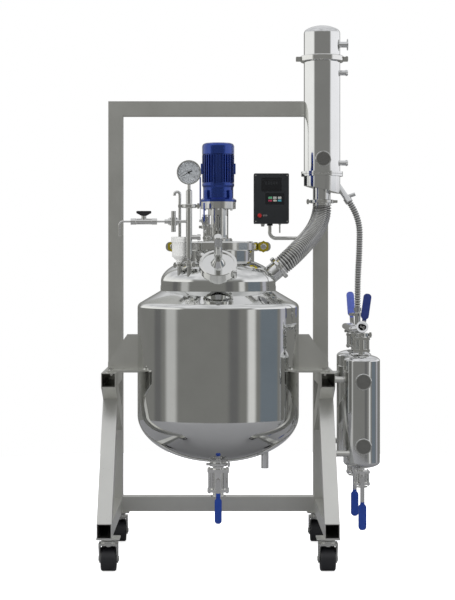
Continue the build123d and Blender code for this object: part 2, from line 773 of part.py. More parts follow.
# Swivel casters: plate and king pin, fork with its axle, wheel
CASTERS = {
    "front_left": (-CASTER_X, CASTER_FRONT_Y),
    "front_right": (CASTER_X, CASTER_FRONT_Y),
    "rear_left": (-CASTER_X, CASTER_REAR_Y),
    "rear_right": (CASTER_X, CASTER_REAR_Y),
}
king_low = CROWN_BOTTOM - GAP
with BuildPart() as caster_plates:
    for x, y in CASTERS.values():
        with BuildSketch(level(PLATE_BOTTOM, x, y)):
            RectangleRounded(PLATE_W, PLATE_D, 8)
        extrude(amount=PLATE_T)
        add(turned([(0, PLATE_BOTTOM), (RACE_R, PLATE_BOTTOM), (RACE_R, PLATE_BOTTOM - RACE_T / 2),
                    (RACE_R - 3, PLATE_BOTTOM - RACE_T), (KING_R, PLATE_BOTTOM - RACE_T), (KING_R, king_low),
                    (2 * KING_R, king_low), (2 * KING_R, king_low - KING_NUT_T), (0, king_low - KING_NUT_T)],
                   spindle(x, y, 0)))
caster_plates.part.label = "caster_plates"
export_step(caster_plates.part, "parts/caster_plates.step")

axle_seat = FORK_OUTER + SEAT
axle_end = axle_seat + AXLE_HEAD_T
for name, (x, y) in CASTERS.items():
    wheel_axis = spindle(x, y + CASTER_TRAIL, WHEEL_R, (1, 0, 0), (0, 1, 0))
    king_bore = rod(spindle(x, y, 0), KING_R + RUN, CROWN_BOTTOM - 1, PLATE_BOTTOM)
    axle_bore = rod(wheel_axis, AXLE_R + RUN, -FORK_OUTER - 1, FORK_OUTER + 1)
    axle = turned([(0, -axle_end), (AXLE_HEAD_R, -axle_end), (AXLE_HEAD_R, -axle_seat), (AXLE_R, -axle_seat),
                   (AXLE_R, axle_seat), (AXLE_HEAD_R, axle_seat), (AXLE_HEAD_R, axle_end), (0, axle_end)],
                  wheel_axis)
    with BuildPart() as fork:
        with BuildSketch(aside(x, y)):
            with Locations((CASTER_TRAIL, WHEEL_R)):
                Circle(FORK_FOOT_R)
            with Locations((0, CROWN_TOP - CROWN_T / 2)):
                Rectangle(CROWN_D, CROWN_T)
            make_hull()
        extrude(amount=FORK_OUTER, both=True)
        with BuildSketch(aside(x, y)):
            with Locations((CASTER_TRAIL / 2, CROWN_BOTTOM / 2)):
                Rectangle(2 * CROWN_D, CROWN_BOTTOM)
        extrude(amount=FORK_INNER, both=True, mode=Mode.SUBTRACT)
        add(rod(spindle(x, y, 0), RACE_R, CROWN_TOP - 1, CROWN_TOP + RACE_T - GAP))
        add(king_bore, mode=Mode.SUBTRACT)
        add(axle_bore, mode=Mode.SUBTRACT)
        add(axle)
    fork.part.label = f"{name}_fork"
    export_step(fork.part, f"parts/{name}_fork.step")

    rim = WHEEL_W / 2
    hub = FORK_INNER - GAP
    half = [(AXLE_R + RUN, hub), (HUB_R_WHEEL, hub), (HUB_R_WHEEL, rim - WEB_DEPTH), (WEB_R, rim - WEB_DEPTH),
            (WEB_R + 2, rim), (WHEEL_R - TREAD_ROUND, rim), (WHEEL_R, rim - TREAD_ROUND)]
    profile = [(r, -w) for r, w in half] + [(r, w) for r, w in reversed(half)]
    with BuildPart() as wheel:
        add(turned(profile, wheel_axis))
    wheel.part.label = f"{name}_wheel"
    export_step(wheel.part, f"parts/{name}_wheel.step")


# Outer cladding: a dished bottom, a straight wall, a rounded shoulder and a cone
axis = spindle(0, 0, 0)
cone = radians(CONE_SLOPE)
shoulder_x = CLAD_R - KNUCKLE_R
shoulder_end = shoulder_x + KNUCKLE_R * sin(cone)
shoulder_z = RING_BOTTOM - SEAT - (shoulder_end - CLAD_TOP_R) * tan(cone) - KNUCKLE_R * cos(cone)


def cladding_form(wall):
    """The cladding's outline at a depth under its outer face, from the pole to the rim."""
    radius = CLAD_R - wall
    EllipticalCenterArc((0, TANGENT_Z), radius, CLAD_R / 2 - wall, start_angle=0, arc_size=-90)
    Line((radius, TANGENT_Z), (radius, shoulder_z))
    CenterArc((shoulder_x, shoulder_z), KNUCKLE_R - wall, 0, 90 - CONE_SLOPE)
    Line((shoulder_x + (KNUCKLE_R - wall) * sin(cone), shoulder_z + (KNUCKLE_R - wall) * cos(cone)),
         (CLAD_TOP_R - wall * sin(cone), RING_BOTTOM - SEAT - wall * cos(cone)))


with BuildPart() as jacket_cladding:
    with BuildSketch(axis):
        with BuildLine():
            cladding_form(0)
            cladding_form(CLAD_T)
            Line((CLAD_TOP_R, RING_BOTTOM - SEAT),
                 (CLAD_TOP_R - CLAD_T * sin(cone), RING_BOTTOM - SEAT - CLAD_T * cos(cone)))
            Line((0, TANGENT_Z - CLAD_R / 2), (0, TANGENT_Z - CLAD_R / 2 + CLAD_T))
        make_face()
    revolve(axis=Axis(axis.origin, axis.y_dir))
    add(rod(axis, OUTLET_R + CURVE, OUTLET_END, TANGENT_Z), mode=Mode.SUBTRACT)
    add(rod(spindle(DRAIN_X, 0, 0), STUB_R + CURVE, DRAIN_END, TANGENT_Z), mode=Mode.SUBTRACT)
    add(rod(spindle(0, 0, INLET_Z, (0, 1, 0)), STUB_R + CURVE, JACKET_R + 5, CLAD_R + 10), mode=Mode.SUBTRACT)
jacket_cladding.part.label = "jacket_cladding"
export_step(jacket_cladding.part, "parts/jacket_cladding.step")


# Jacket wall round the inner vessel, with its closing ring and two stubs
drain_axis = spindle(DRAIN_X, 0, 0)
inlet_axis = spindle(0, 0, INLET_Z, (0, 1, 0))
jacket_rise = JACKET_R / 2
with BuildPart() as jacket_wall:
    add(bowl(axis, JACKET_R, TANGENT_Z, -jacket_rise, JACKET_TOP))
    add(rod(drain_axis, STUB_R, DRAIN_END, TANGENT_Z - jacket_rise / 2))
    add(rod(inlet_axis, STUB_R, JACKET_R - 10, CLAD_R + INLET_REACH))
    add(bowl(axis, JACKET_R - JACKET_T, TANGENT_Z, JACKET_T - jacket_rise, JACKET_TOP - JACKET_T),
        mode=Mode.SUBTRACT)
    add(rod(axis, VESSEL_R + CURVE, JACKET_TOP - 10, JACKET_TOP + 1), mode=Mode.SUBTRACT)
    add(rod(axis, OUTLET_R + CURVE, OUTLET_END, TANGENT_Z), mode=Mode.SUBTRACT)
    add(rod(drain_axis, STUB_BORE, DRAIN_END - 1, TANGENT_Z), mode=Mode.SUBTRACT)
    add(rod(inlet_axis, STUB_BORE, JACKET_R - 20, CLAD_R + INLET_REACH + 1), mode=Mode.SUBTRACT)
jacket_wall.part.label = "jacket_wall"
export_step(jacket_wall.part, "parts/jacket_wall.step")


# Inner vessel: dished bottom with the outlet, straight wall, and the ring that carries the head
vessel_rise = VESSEL_R / 2
with BuildPart() as inner_vessel:
    add(bowl(axis, VESSEL_R, TANGENT_Z, -vessel_rise, RING_TOP))
    add(rod(axis, RING_R, RING_BOTTOM, RING_TOP))
    add(turned([(0, OUTLET_END), (OUTLET_VALVE.flange, OUTLET_END), (OUTLET_VALVE.flange, OUTLET_END + FLANGE_T),
                (OUTLET_R, OUTLET_END + FLANGE_T), (OUTLET_R, TANGENT_Z - 60), (0, TANGENT_Z - 60)], axis))
    add(bowl(axis, VESSEL_R - VESSEL_T, TANGENT_Z, VESSEL_T - vessel_rise, RING_TOP + 1), mode=Mode.SUBTRACT)
    add(rod(axis, OUTLET_BORE, OUTLET_END - 1, TANGENT_Z), mode=Mode.SUBTRACT)
inner_vessel.part.label = "inner_vessel"
export_step(inner_vessel.part, "parts/inner_vessel.step")


# Head: a dome with the open neck, the charging port, two small ports and the vapour port
head_low = RING_TOP + SEAT
column_axis = spindle(COLUMN_X, COLUMN_Y, 0)
cup_axis = spindle(CUP_X, CUP_Y, 0, out=(-1, 0, 0))
vapour_dir = Vector(*VAPOUR_AIM).normalized()
vapour_axis = spindle(VAPOUR_X, VAPOUR_Y, VAPOUR_Z, tuple(vapour_dir), (0, -1, 0))
port_axis = spindle(0, PORT_Y, PORT_Z, tuple(PORT_N))
cover_face = -PORT_LIP
port_face = cover_face - 2 * PORT_FLANGE_T - PORT_GASKET_T + PORT_FLANGE_T
small_ports = ((column_axis, COLUMN_JOINT_Z), (cup_axis, CUP_JOINT_Z))
seal = SEAL_T / 2 + SEAT
with BuildPart() as vessel_head:
    add(bowl(axis, HEAD_R, HEAD_TANGENT, HEAD_RISE, head_low))
    add(turned([(0, HEAD_TANGENT), (NECK_R, HEAD_TANGENT), (NECK_R, NECK_TOP - NECK_FLANGE_T),
                (NECK_FLANGE_R, NECK_TOP - NECK_FLANGE_T), (NECK_FLANGE_R, NECK_TOP), (0, NECK_TOP)], axis))
    for port, joint_z in small_ports:
        add(turned([(0, HEAD_TANGENT), (MINI.radius, HEAD_TANGENT), (MINI.radius, joint_z - seal - FLANGE_T),
                    (MINI.flange, joint_z - seal - FLANGE_T), (MINI.flange, joint_z - seal),
                    (0, joint_z - seal)], port))
    add(turned([(0, -60), (VAPOUR_PIPE.radius, -60), (VAPOUR_PIPE.radius, VAPOUR_STUB - seal - FLANGE_T),
                (VAPOUR_PIPE.flange, VAPOUR_STUB - seal - FLANGE_T), (VAPOUR_PIPE.flange, VAPOUR_STUB - seal),
                (0, VAPOUR_STUB - seal)], vapour_axis))
    add(turned([(0, -PORT_DEPTH), (PORT_PIPE_R, -PORT_DEPTH), (PORT_PIPE_R, port_face - PORT_FLANGE_T),
                (PORT_FLANGE_R, port_face - PORT_FLANGE_T), (PORT_FLANGE_R, port_face), (0, port_face)], port_axis))
    add(bowl(axis, HEAD_R - HEAD_T, HEAD_TANGENT, HEAD_RISE - HEAD_T, head_low - 40), mode=Mode.SUBTRACT)
    add(rod(axis, NECK_R - NECK_T, HEAD_TANGENT, NECK_TOP + 1), mode=Mode.SUBTRACT)
    for port, joint_z in small_ports:
        add(rod(port, MINI.bore, HEAD_TANGENT - 1, joint_z), mode=Mode.SUBTRACT)
    add(rod(vapour_axis, VAPOUR_PIPE.bore, -61, VAPOUR_STUB), mode=Mode.SUBTRACT)
    add(rod(port_axis, PORT_PIPE_R - PORT_PIPE_T, -PORT_DEPTH - 1, 0), mode=Mode.SUBTRACT)
    split(bisect_by=level(head_low), keep=Keep.TOP)
vessel_head.part.label = "vessel_head"
export_step(vessel_head.part, "parts/vessel_head.step")


# Lid plate on the neck, with stubs for its two ball valves
lid_valves = {1: LID_VALVE_1, 2: LID_VALVE_2}
with BuildPart() as lid_plate:
    add(turned([(0, LID_BOTTOM), (NECK_FLANGE_R, LID_BOTTOM), (NECK_FLANGE_R, LID_BOTTOM + LID_FLANGE_T),
                (NECK_R - 4, LID_BOTTOM + LID_FLANGE_T), (NECK_R - 6, LID_TOP), (0, LID_TOP)], axis))
    for x, y, z in lid_valves.values():
        joint_z = z - LID_VALVE.half - SEAL_T - 2 * SEAT
        add(turned([(0, LID_TOP - 2), (LID_VALVE.pipe, LID_TOP - 2), (LID_VALVE.pipe, joint_z - FLANGE_T),
                    (LID_VALVE.flange, joint_z - FLANGE_T), (LID_VALVE.flange, joint_z), (0, joint_z)],
                   spindle(x, y, 0)))
        add(rod(spindle(x, y, 0), LID_VALVE.bore, LID_BOTTOM - 1, joint_z + 1), mode=Mode.SUBTRACT)
    add(rod(axis, SHAFT_R + GAP, LID_BOTTOM - 1, LID_TOP + 1), mode=Mode.SUBTRACT)
lid_plate.part.label = "lid_plate"
export_step(lid_plate.part, "parts/lid_plate.step")


# Neck clamp: a front and a rear half ring with ears, and two bolts along y
band_in = NECK_R + 4
band_seat = NECK_FLANGE_R + CURVE
band_out = band_seat + BAND_T
grip_low = NECK_TOP - NECK_FLANGE_T - SEAT
grip_high = LID_BOTTOM + LID_FLANGE_T + SEAT
with BuildPart() as lid_clamp:
    add(turned([(band_in, BAND_LOW), (band_out - BAND_CHAMFER, BAND_LOW), (band_out, BAND_LOW + BAND_CHAMFER),
                (band_out, BAND_HIGH - BAND_CHAMFER), (band_out - BAND_CHAMFER, BAND_HIGH), (band_in, BAND_HIGH),
                (band_in, grip_high), (band_seat, grip_high), (band_seat, grip_low), (band_in, grip_low)], axis))
    with BuildSketch(facing(0)):
        with Locations((band_seat + (EAR_REACH - band_seat) / 2 + 1, BAND_Z)):
            RectangleRounded(EAR_REACH - band_seat, EAR_HEIGHT, 0.45 * EAR_HEIGHT)
    extrude(amount=EAR_DEPTH / 2, both=True)
    with BuildSketch(facing(0)):
        with Locations((BAND_BOLT_X, BAND_Z)):
            Circle(BAND_BOLT_R + CURVE)
    extrude(amount=EAR_DEPTH, both=True, mode=Mode.SUBTRACT)
    add(rod(axis, band_seat - 0.01, grip_low, grip_high), mode=Mode.SUBTRACT)
    mirror(about=aside(0))
    with BuildSketch(level(BAND_LOW - EAR_HEIGHT)):
        Rectangle(2.2 * EAR_REACH, EAR_SPLIT)
    extrude(amount=3 * EAR_HEIGHT, mode=Mode.SUBTRACT)
lid_clamp.part.label = "lid_clamp"
export_step(lid_clamp.part, "parts/lid_clamp.step")

ear_face = EAR_DEPTH / 2 + SEAT
with BuildPart() as lid_clamp_nuts:
    with BuildSketch(facing(-ear_face)):
        with Locations((-BAND_BOLT_X, BAND_Z), (BAND_BOLT_X, BAND_Z)):
            RegularPolygon(BAND_NUT_R, 6, rotation=30)
            Circle(BAND_BOLT_R + SEAT, mode=Mode.SUBTRACT)
    extrude(amount=BAND_NUT_T)
lid_clamp_nuts.part.label = "lid_clamp_nuts"
export_step(lid_clamp_nuts.part, "parts/lid_clamp_nuts.step")


# Bolts that hold the lugs on the upper rails, and those of the neck clamp's ears
nut_top = UPPER_TOP - TUBE_WALL - SEAT
bolt_places = [(x, y) for x in (-LUG_BOLT_X, LUG_BOLT_X) for y in (-LUG_BOLT_Y, LUG_BOLT_Y)]
with BuildPart() as bolts:
    with BuildSketch(level(lug_top + SEAT)):
        with Locations(*bolt_places):
            Circle(2 * LUG_BOLT_R)
    extrude(amount=WASHER_T)
    with BuildSketch(level(lug_top + SEAT + WASHER_T)):
        with Locations(*bolt_places):
            RegularPolygon(1.8 * LUG_BOLT_R, 6)
    extrude(amount=1.3 * LUG_BOLT_R)
    with BuildSketch(level(nut_top)):
        with Locations(*bolt_places):
            RegularPolygon(1.8 * LUG_BOLT_R, 6)
    extrude(amount=-1.6 * LUG_BOLT_R)
    with BuildSketch(level(lug_top + 1)):
        with Locations(*bolt_places):
            Circle(LUG_BOLT_R)
    extrude(amount=nut_top - lug_top - 14)
    for side in (-1, 1):
        bolt_axis = spindle(side * BAND_BOLT_X, 0, BAND_Z, (0, -1, 0))
        bolt_end = ear_face + BAND_NUT_T + BAND_BOLT_TIP
        add(turned([(0, -ear_face - BAND_HEAD_T), (1.7 * BAND_BOLT_R, -ear_face - BAND_HEAD_T),
                    (1.7 * BAND_BOLT_R, -ear_face), (BAND_BOLT_R, -ear_face), (BAND_BOLT_R, bolt_end - 2),
                    (BAND_BOLT_R - 2, bolt_end), (0, bolt_end)], bolt_axis))
bolts.part.label = "bolts"
export_step(bolts.part, "parts/bolts.step")


# Charging port: a blind cover with a post, held by a hinged band
port_seal = port_face + PORT_GASKET_T
with BuildPart() as charging_cover:
    add(turned([(0, port_seal + SEAT), (PORT_FLANGE_R, port_seal + SEAT), (PORT_FLANGE_R, cover_face),
                (COLLAR_R, cover_face), (POST_R, cover_face + COLLAR_T), (POST_R, POST_REACH - 4),
                (POST_R - 4, POST_REACH), (0, POST_REACH)], port_axis))
charging_cover.part.label = "charging_cover"
export_step(charging_cover.part, "parts/charging_cover.step")

port_in = PORT_FLANGE_R - 4
port_groove = PORT_FLANGE_R + CURVE
port_out = port_groove + PORT_BAND_T
port_back = port_face - PORT_FLANGE_T - SEAT
hinge_at = port_out + 4
across_port = Plane(origin=port_axis.origin, x_dir=port_axis.x_dir, z_dir=port_axis.y_dir)
with BuildPart() as charging_clamp:
    add(turned([(port_in, port_back - PORT_LIP), (port_out - 2, port_back - PORT_LIP), (port_out, port_back - PORT_LIP + 2),
                (port_out, -2), (port_out - 2, 0), (port_in, 0), (port_in, cover_face + SEAT),
                (port_groove, cover_face + SEAT), (port_groove, port_back), (port_in, port_back)], port_axis))
    with BuildSketch(across_port.offset(port_back - PORT_LIP + 2)):
        with PolarLocations(hinge_at, 2, PORT_EAR_TURN):
            RectangleRounded(2 * PORT_EAR, 1.6 * PORT_EAR, 4)
    extrude(amount=-port_back + PORT_LIP - 4)
    add(rod(port_axis, port_groove, port_back, cover_face + SEAT), mode=Mode.SUBTRACT)
    add(rod(port_axis, port_in, port_back - PORT_LIP - 1, 1), mode=Mode.SUBTRACT)
    with BuildSketch(across_port):
        with PolarLocations(hinge_at + 2, 1, PORT_EAR_TURN):
            Circle(PORT_CAP_NUT_R)
    extrude(amount=PORT_CAP_NUT_T)
charging_clamp.part.label = "charging_clamp"
export_step(charging_clamp.part, "parts/charging_clamp.step")


# Agitator drive: lantern, motor bell, finned motor, fan cowl
lantern_low = LID_TOP + SEAT
lantern_in = LANTERN_R - LANTERN_T
with BuildPart() as lantern:
    add(turned([(lantern_in, lantern_low), (LANTERN_FOOT_R, lantern_low), (LANTERN_FOOT_R, lantern_low + 9),
                (LANTERN_R + 2, lantern_low + 13), (LANTERN_R, lantern_low + 16), (LANTERN_R, LANTERN_TOP),
                (LANTERN_FLANGE_R, LANTERN_TOP + 2), (LANTERN_FLANGE_R, LANTERN_DECK),
                (SHAFT_R + 4, LANTERN_DECK), (SHAFT_R + 4, LANTERN_DECK - 10), (lantern_in, LANTERN_DECK - 10)],
               axis))
    with BuildSketch(level(lantern_low + LANTERN_FOOT_T)):
        with PolarLocations(0, WINDOWS // 2, start_angle=WINDOW_TURN, angular_range=180):
            Rectangle(3 * LANTERN_R, WINDOW_W)
    extrude(amount=WINDOW_H, mode=Mode.SUBTRACT)
    with BuildSketch(level(lantern_low + 9)):
        with PolarLocations(LANTERN_FOOT_R - 8, 6):
            RegularPolygon(5, 6)
    extrude(amount=5)
    with BuildSketch(level(LANTERN_TOP + 2)):
        with PolarLocations(LANTERN_FLANGE_R - 9, 6, WINDOW_TURN):
            RegularPolygon(5.5, 6)
    extrude(amount=-6)
lantern.part.label = "lantern"
export_step(lantern.part, "parts/lantern.step")

bell_low = LANTERN_DECK + SEAT
with BuildPart() as motor_bell:
    add(turned([(SHAFT_R + 4, bell_low), (BELL_LIP_R, bell_low), (BELL_LIP_R, bell_low + BELL_LIP_T),
                (BELL_WAIST_R, bell_low + BELL_LIP_T + 8), (BELL_WAIST_R, BELL_TOP - 18), (MOTOR_R, BELL_TOP - 10),
                (MOTOR_R, BELL_TOP), (SHAFT_R + RUN, BELL_TOP), (SHAFT_R + RUN, BELL_TOP - 24),
                (SHAFT_R + 4, BELL_TOP - 24)], axis))
    with BuildSketch(level(bell_low + BELL_LIP_T - 1)):
        with PolarLocations(BELL_WAIST_R + 2, 4, 45):
            Rectangle(BELL_LIP_R - BELL_WAIST_R + 6, 16)
    extrude(amount=BELL_RIB_H)
    add(rod(axis, BELL_LIP_R, bell_low, BELL_TOP), mode=Mode.INTERSECT)
motor_bell.part.label = "motor_bell"
export_step(motor_bell.part, "parts/motor_bell.step")

motor_low = BELL_TOP + SEAT
with BuildPart() as motor_frame:
    add(turned([(0, motor_low + 30), (SHAFT_R + 4, motor_low + 30), (SHAFT_R + 4, motor_low), (MOTOR_CORE_R, motor_low),
                (MOTOR_CORE_R, FIN_TOP), (0, FIN_TOP)], axis))
    with BuildSketch(level(motor_low + 3)):
        with PolarLocations((MOTOR_CORE_R + MOTOR_R) / 2 - 1, FINS):
            Rectangle(MOTOR_R - MOTOR_CORE_R + 2, FIN_T)
    extrude(amount=FIN_BODY_H - 6)
    with BuildSketch(level((motor_low + FIN_TOP) / 2 - PAD_H / 2)):
        with Locations((-PAD_X, 0), (PAD_X, 0)):
            RectangleRounded(16, 30, 4)
    extrude(amount=PAD_H)
    with BuildSketch(facing(MOTOR_CORE_R / 2, 0, (motor_low + FIN_TOP) / 2)):
        RectangleRounded(TERMINAL_BOX[0], TERMINAL_BOX[2], 8)
    extrude(amount=-(MOTOR_CORE_R / 2 + TERMINAL_BOX[1]))
    with BuildSketch(facing(MOTOR_CORE_R + TERMINAL_BOX[1] - 6, 0, (motor_low + FIN_TOP) / 2)):
        RectangleRounded(TERMINAL_BOX[0] + 6, TERMINAL_BOX[2] + 6, 9)
    extrude(amount=-8)
motor_frame.part.label = "motor_frame"
export_step(motor_frame.part, "parts/motor_frame.step")

cowl_low = FIN_TOP + SEAT
with BuildPart() as motor_fan_cowl:
    add(turned([(MOTOR_R - COWL_T, cowl_low), (MOTOR_R, cowl_low), (MOTOR_R, MOTOR_TOP - COWL_ROUND),
                (MOTOR_R - 4, MOTOR_TOP - 4), (MOTOR_R - COWL_ROUND, MOTOR_TOP), (0, MOTOR_TOP),
                (0, MOTOR_TOP - COWL_T), (MOTOR_R - COWL_ROUND, MOTOR_TOP - COWL_T),
                (MOTOR_R - COWL_T - 3, MOTOR_TOP - 5), (MOTOR_R - COWL_T, MOTOR_TOP - COWL_ROUND)], axis))
    with BuildSketch(level(MOTOR_TOP + 1)):
        with PolarLocations(MOTOR_R / 2, VENTS):
            SlotOverall(MOTOR_R * 0.5, 5)
    extrude(amount=-COWL_T - 2, mode=Mode.SUBTRACT)
motor_fan_cowl.part.label = "motor_fan_cowl"
export_step(motor_fan_cowl.part, "parts/motor_fan_cowl.step")

with BuildPart() as shaft_seal:
    add(turned([(SHAFT_R + RUN, lantern_low), (SEAL_R, lantern_low), (SEAL_R, lantern_low + 12),
                (SEAL_R - 5, lantern_low + 14), (SEAL_R - 5, lantern_low + SEAL_H), (SHAFT_R + RUN, lantern_low + SEAL_H)],
               axis))
shaft_seal.part.label = "shaft_seal"
export_step(shaft_seal.part, "parts/shaft_seal.step")

coupling_low = lantern_low + SEAL_H + 12
with BuildPart() as agitator_shaft:
    add(turned([(0, SHAFT_BOTTOM), (SHAFT_R, SHAFT_BOTTOM), (SHAFT_R, coupling_low), (COUPLING_R, coupling_low),
                (COUPLING_R, coupling_low + COUPLING_H * 0.45), (COUPLING_R - 2, coupling_low + COUPLING_H * 0.45),
                (COUPLING_R - 2, coupling_low + COUPLING_H * 0.55), (COUPLING_R, coupling_low + COUPLING_H * 0.55),
                (COUPLING_R, coupling_low + COUPLING_H), (SHAFT_R, coupling_low + COUPLING_H),
                (SHAFT_R, motor_low + 28), (0, motor_low + 28)], axis))
agitator_shaft.part.label = "agitator_shaft"
export_step(agitator_shaft.part, "parts/agitator_shaft.step")

with BuildPart() as agitator_impeller:
    for stage in (0, 1):
        hub_z = SHAFT_BOTTOM + 10 + stage * IMPELLER_GAP
        with BuildSketch(level(hub_z)):
            Circle(HUB_R)
        extrude(amount=HUB_H)
        for quarter in range(4):
            angle = radians(90 * quarter + 45 * stage)
            blade_dir = Vector(cos(angle), sin(angle), 0)
            blade = swung(Plane(origin=place(0, 0, hub_z + HUB_H / 2), x_dir=Vector(0, 0, 1).cross(blade_dir),
                                z_dir=blade_dir), BLADE_PITCH)
            with BuildSketch(blade.offset(HUB_R - 3)):
                Rectangle(BLADE_T, BLADE_H)
            extrude(amount=BLADE_REACH - HUB_R + 3)
    add(rod(axis, SHAFT_R + SEAT, SHAFT_BOTTOM, SHAFT_BOTTOM + IMPELLER_GAP + 2 * HUB_H), mode=Mode.SUBTRACT)
agitator_impeller.part.label = "agitator_impeller"
export_step(agitator_impeller.part, "parts/agitator_impeller.step")


# Pressure gauge on its stem: case with dial, glass and pointer
gauge_axis = spindle(COLUMN_X, COLUMN_Y, GAUGE_Z, (0, -1, 0))
gauge_front = GAUGE_DEPTH / 2
dial_face = gauge_front - GAUGE_RIM
glass_low = gauge_front - GLASS_T - 1
with BuildPart() as gauge_case:
    add(turned([(0, -gauge_front), (GAUGE_R - 4, -gauge_front), (GAUGE_R - 2, -gauge_front + 4),
                (GAUGE_R - 2, gauge_front - 8), (GAUGE_R, gauge_front - 8), (GAUGE_R, gauge_front),
                (GAUGE_R - 4, gauge_front), (GAUGE_R - 4, dial_face - DIAL_T), (0, dial_face - DIAL_T)], gauge_axis))
    add(turned([(0, COLUMN_TOP_Z + seal), (GAUGE_PIPE.flange, COLUMN_TOP_Z + seal),
                (GAUGE_PIPE.flange, COLUMN_TOP_Z + seal + FLANGE_T), (GAUGE_PIPE.radius, COLUMN_TOP_Z + seal + FLANGE_T),
                (GAUGE_PIPE.radius, GAUGE_Z - GAUGE_SHOULDER - 5), (GAUGE_STEM_R, GAUGE_Z - GAUGE_SHOULDER),
                (GAUGE_STEM_R, GAUGE_Z - GAUGE_R + 4), (0, GAUGE_Z - GAUGE_R + 4)], column_axis))
    add(rod(gauge_axis, POINTER_R + RUN, 0, gauge_front), mode=Mode.SUBTRACT)
gauge_case.part.label = "gauge_case"
export_step(gauge_case.part, "parts/gauge_case.step")

pointer_low = dial_face - DIAL_T + 1
gauge_turn = swung(facing(COLUMN_Y, COLUMN_X, GAUGE_Z), NEEDLE_ANGLE)
with BuildPart() as gauge_needle:
    with BuildSketch(gauge_turn.offset(pointer_low)):
        with BuildLine():
            Polyline((-NEEDLE_TAIL, -2.2), (0, -1.6), (NEEDLE_LENGTH, 0), (0, 1.6), (-NEEDLE_TAIL, 2.2), close=True)
        make_face()
        Circle(4.5)
    extrude(amount=1)
    with BuildSketch(gauge_turn):
        Circle(POINTER_R)
    extrude(amount=pointer_low + 1.5)
gauge_needle.part.label = "gauge_needle"
export_step(gauge_needle.part, "parts/gauge_needle.step")


# Instrument column under the gauge, with a capped side port, and the vent tube of the feed cup
cap_port = spindle(COLUMN_X, COLUMN_Y, CAP_PORT_Z, (1, 0, 0), (0, 0, 1))
vent_low = CUP_JOINT_Z + seal + CUP_NECK_H + CUP_CONE_H + CUP_H
vent_top = vent_low + VENT_H
cup_point = place(CUP_X, CUP_Y, 0)
vent_path = [cup_point + Vector(0, 0, vent_low), cup_point + Vector(0, 0, vent_top),
             cup_point + Vector(-2 * VENT_BEND, 0, vent_top), cup_point + Vector(-2 * VENT_BEND, 0, vent_top - 1.4 * VENT_BEND)]
column_low = COLUMN_JOINT_Z + seal
column_high = COLUMN_TOP_Z - seal
with BuildPart() as instrument_column:
    add(turned([(MINI.bore, column_low), (MINI.flange, column_low), (MINI.flange, column_low + FLANGE_T),
                (MINI.radius, column_low + FLANGE_T), (MINI.radius, column_low + 18),
                (GAUGE_PIPE.radius, column_low + 24), (GAUGE_PIPE.radius, column_high - FLANGE_T),
                (GAUGE_PIPE.flange, column_high - FLANGE_T), (GAUGE_PIPE.flange, column_high),
                (MINI.bore, column_high)], column_axis))
    add(turned([(0, MINI.radius), (MINI.radius, MINI.radius), (MINI.radius, CAP_PORT_END - COLUMN_X - 14),
                (MINI.flange, CAP_PORT_END - COLUMN_X - 14), (MINI.flange, CAP_PORT_END - COLUMN_X - 2),
                (MINI.flange - 3, CAP_PORT_END - COLUMN_X), (0, CAP_PORT_END - COLUMN_X)], cap_port))
    add(rod(column_axis, MINI.bore, column_low - 1, column_high + 1), mode=Mode.SUBTRACT)
    add(rod(spindle(COLUMN_X, COLUMN_Y, BRANCH_Z, (-1, 0, 0), (0, 0, 1)), LINE_R, MINI.bore - 2, GAUGE_PIPE.radius + 2),
        mode=Mode.SUBTRACT)
    add(bent(vent_path, VENT_BEND * 0.95, VENT_R))
instrument_column.part.label = "instrument_column"
export_step(instrument_column.part, "parts/instrument_column.step")


# Feed cup with its screwed lid
cup_low = CUP_JOINT_Z + seal
cup_cone = cup_low + CUP_NECK_H
cup_body = cup_cone + CUP_CONE_H
cup_rim = cup_body + CUP_H - CUP_LID_H
cup_lid_top = cup_rim + CUP_LID_H + CUP_WALL
with BuildPart() as feed_cup:
    add(turned([(MINI.bore, cup_low), (MINI.flange, cup_low), (MINI.flange, cup_low + FLANGE_T),
                (MINI.radius, cup_low + FLANGE_T), (MINI.radius, cup_low + FLANGE_T + CLAMP_LIP + 2),
                (CUP_NECK_R, cup_low + FLANGE_T + CLAMP_LIP + 4), (CUP_NECK_R, cup_cone), (CUP_R, cup_body), (CUP_R, cup_rim + CUP_LID_H - 2),
                (CUP_R - CUP_WALL, cup_rim + CUP_LID_H - 2), (CUP_R - CUP_WALL, cup_body + 2), (MINI.bore, cup_cone + 2)],
               cup_axis))
    add(turned([(VENT_R + SEAT, cup_rim + CUP_LID_H), (VENT_R + SEAT, cup_lid_top), (CUP_LID_R - 2, cup_lid_top),
                (CUP_LID_R, cup_lid_top - 2), (CUP_LID_R, cup_rim), (CUP_R + CURVE, cup_rim), (CUP_R + CURVE, cup_rim + CUP_LID_H)],
               cup_axis))
feed_cup.part.label = "feed_cup"
export_step(feed_cup.part, "parts/feed_cup.step")


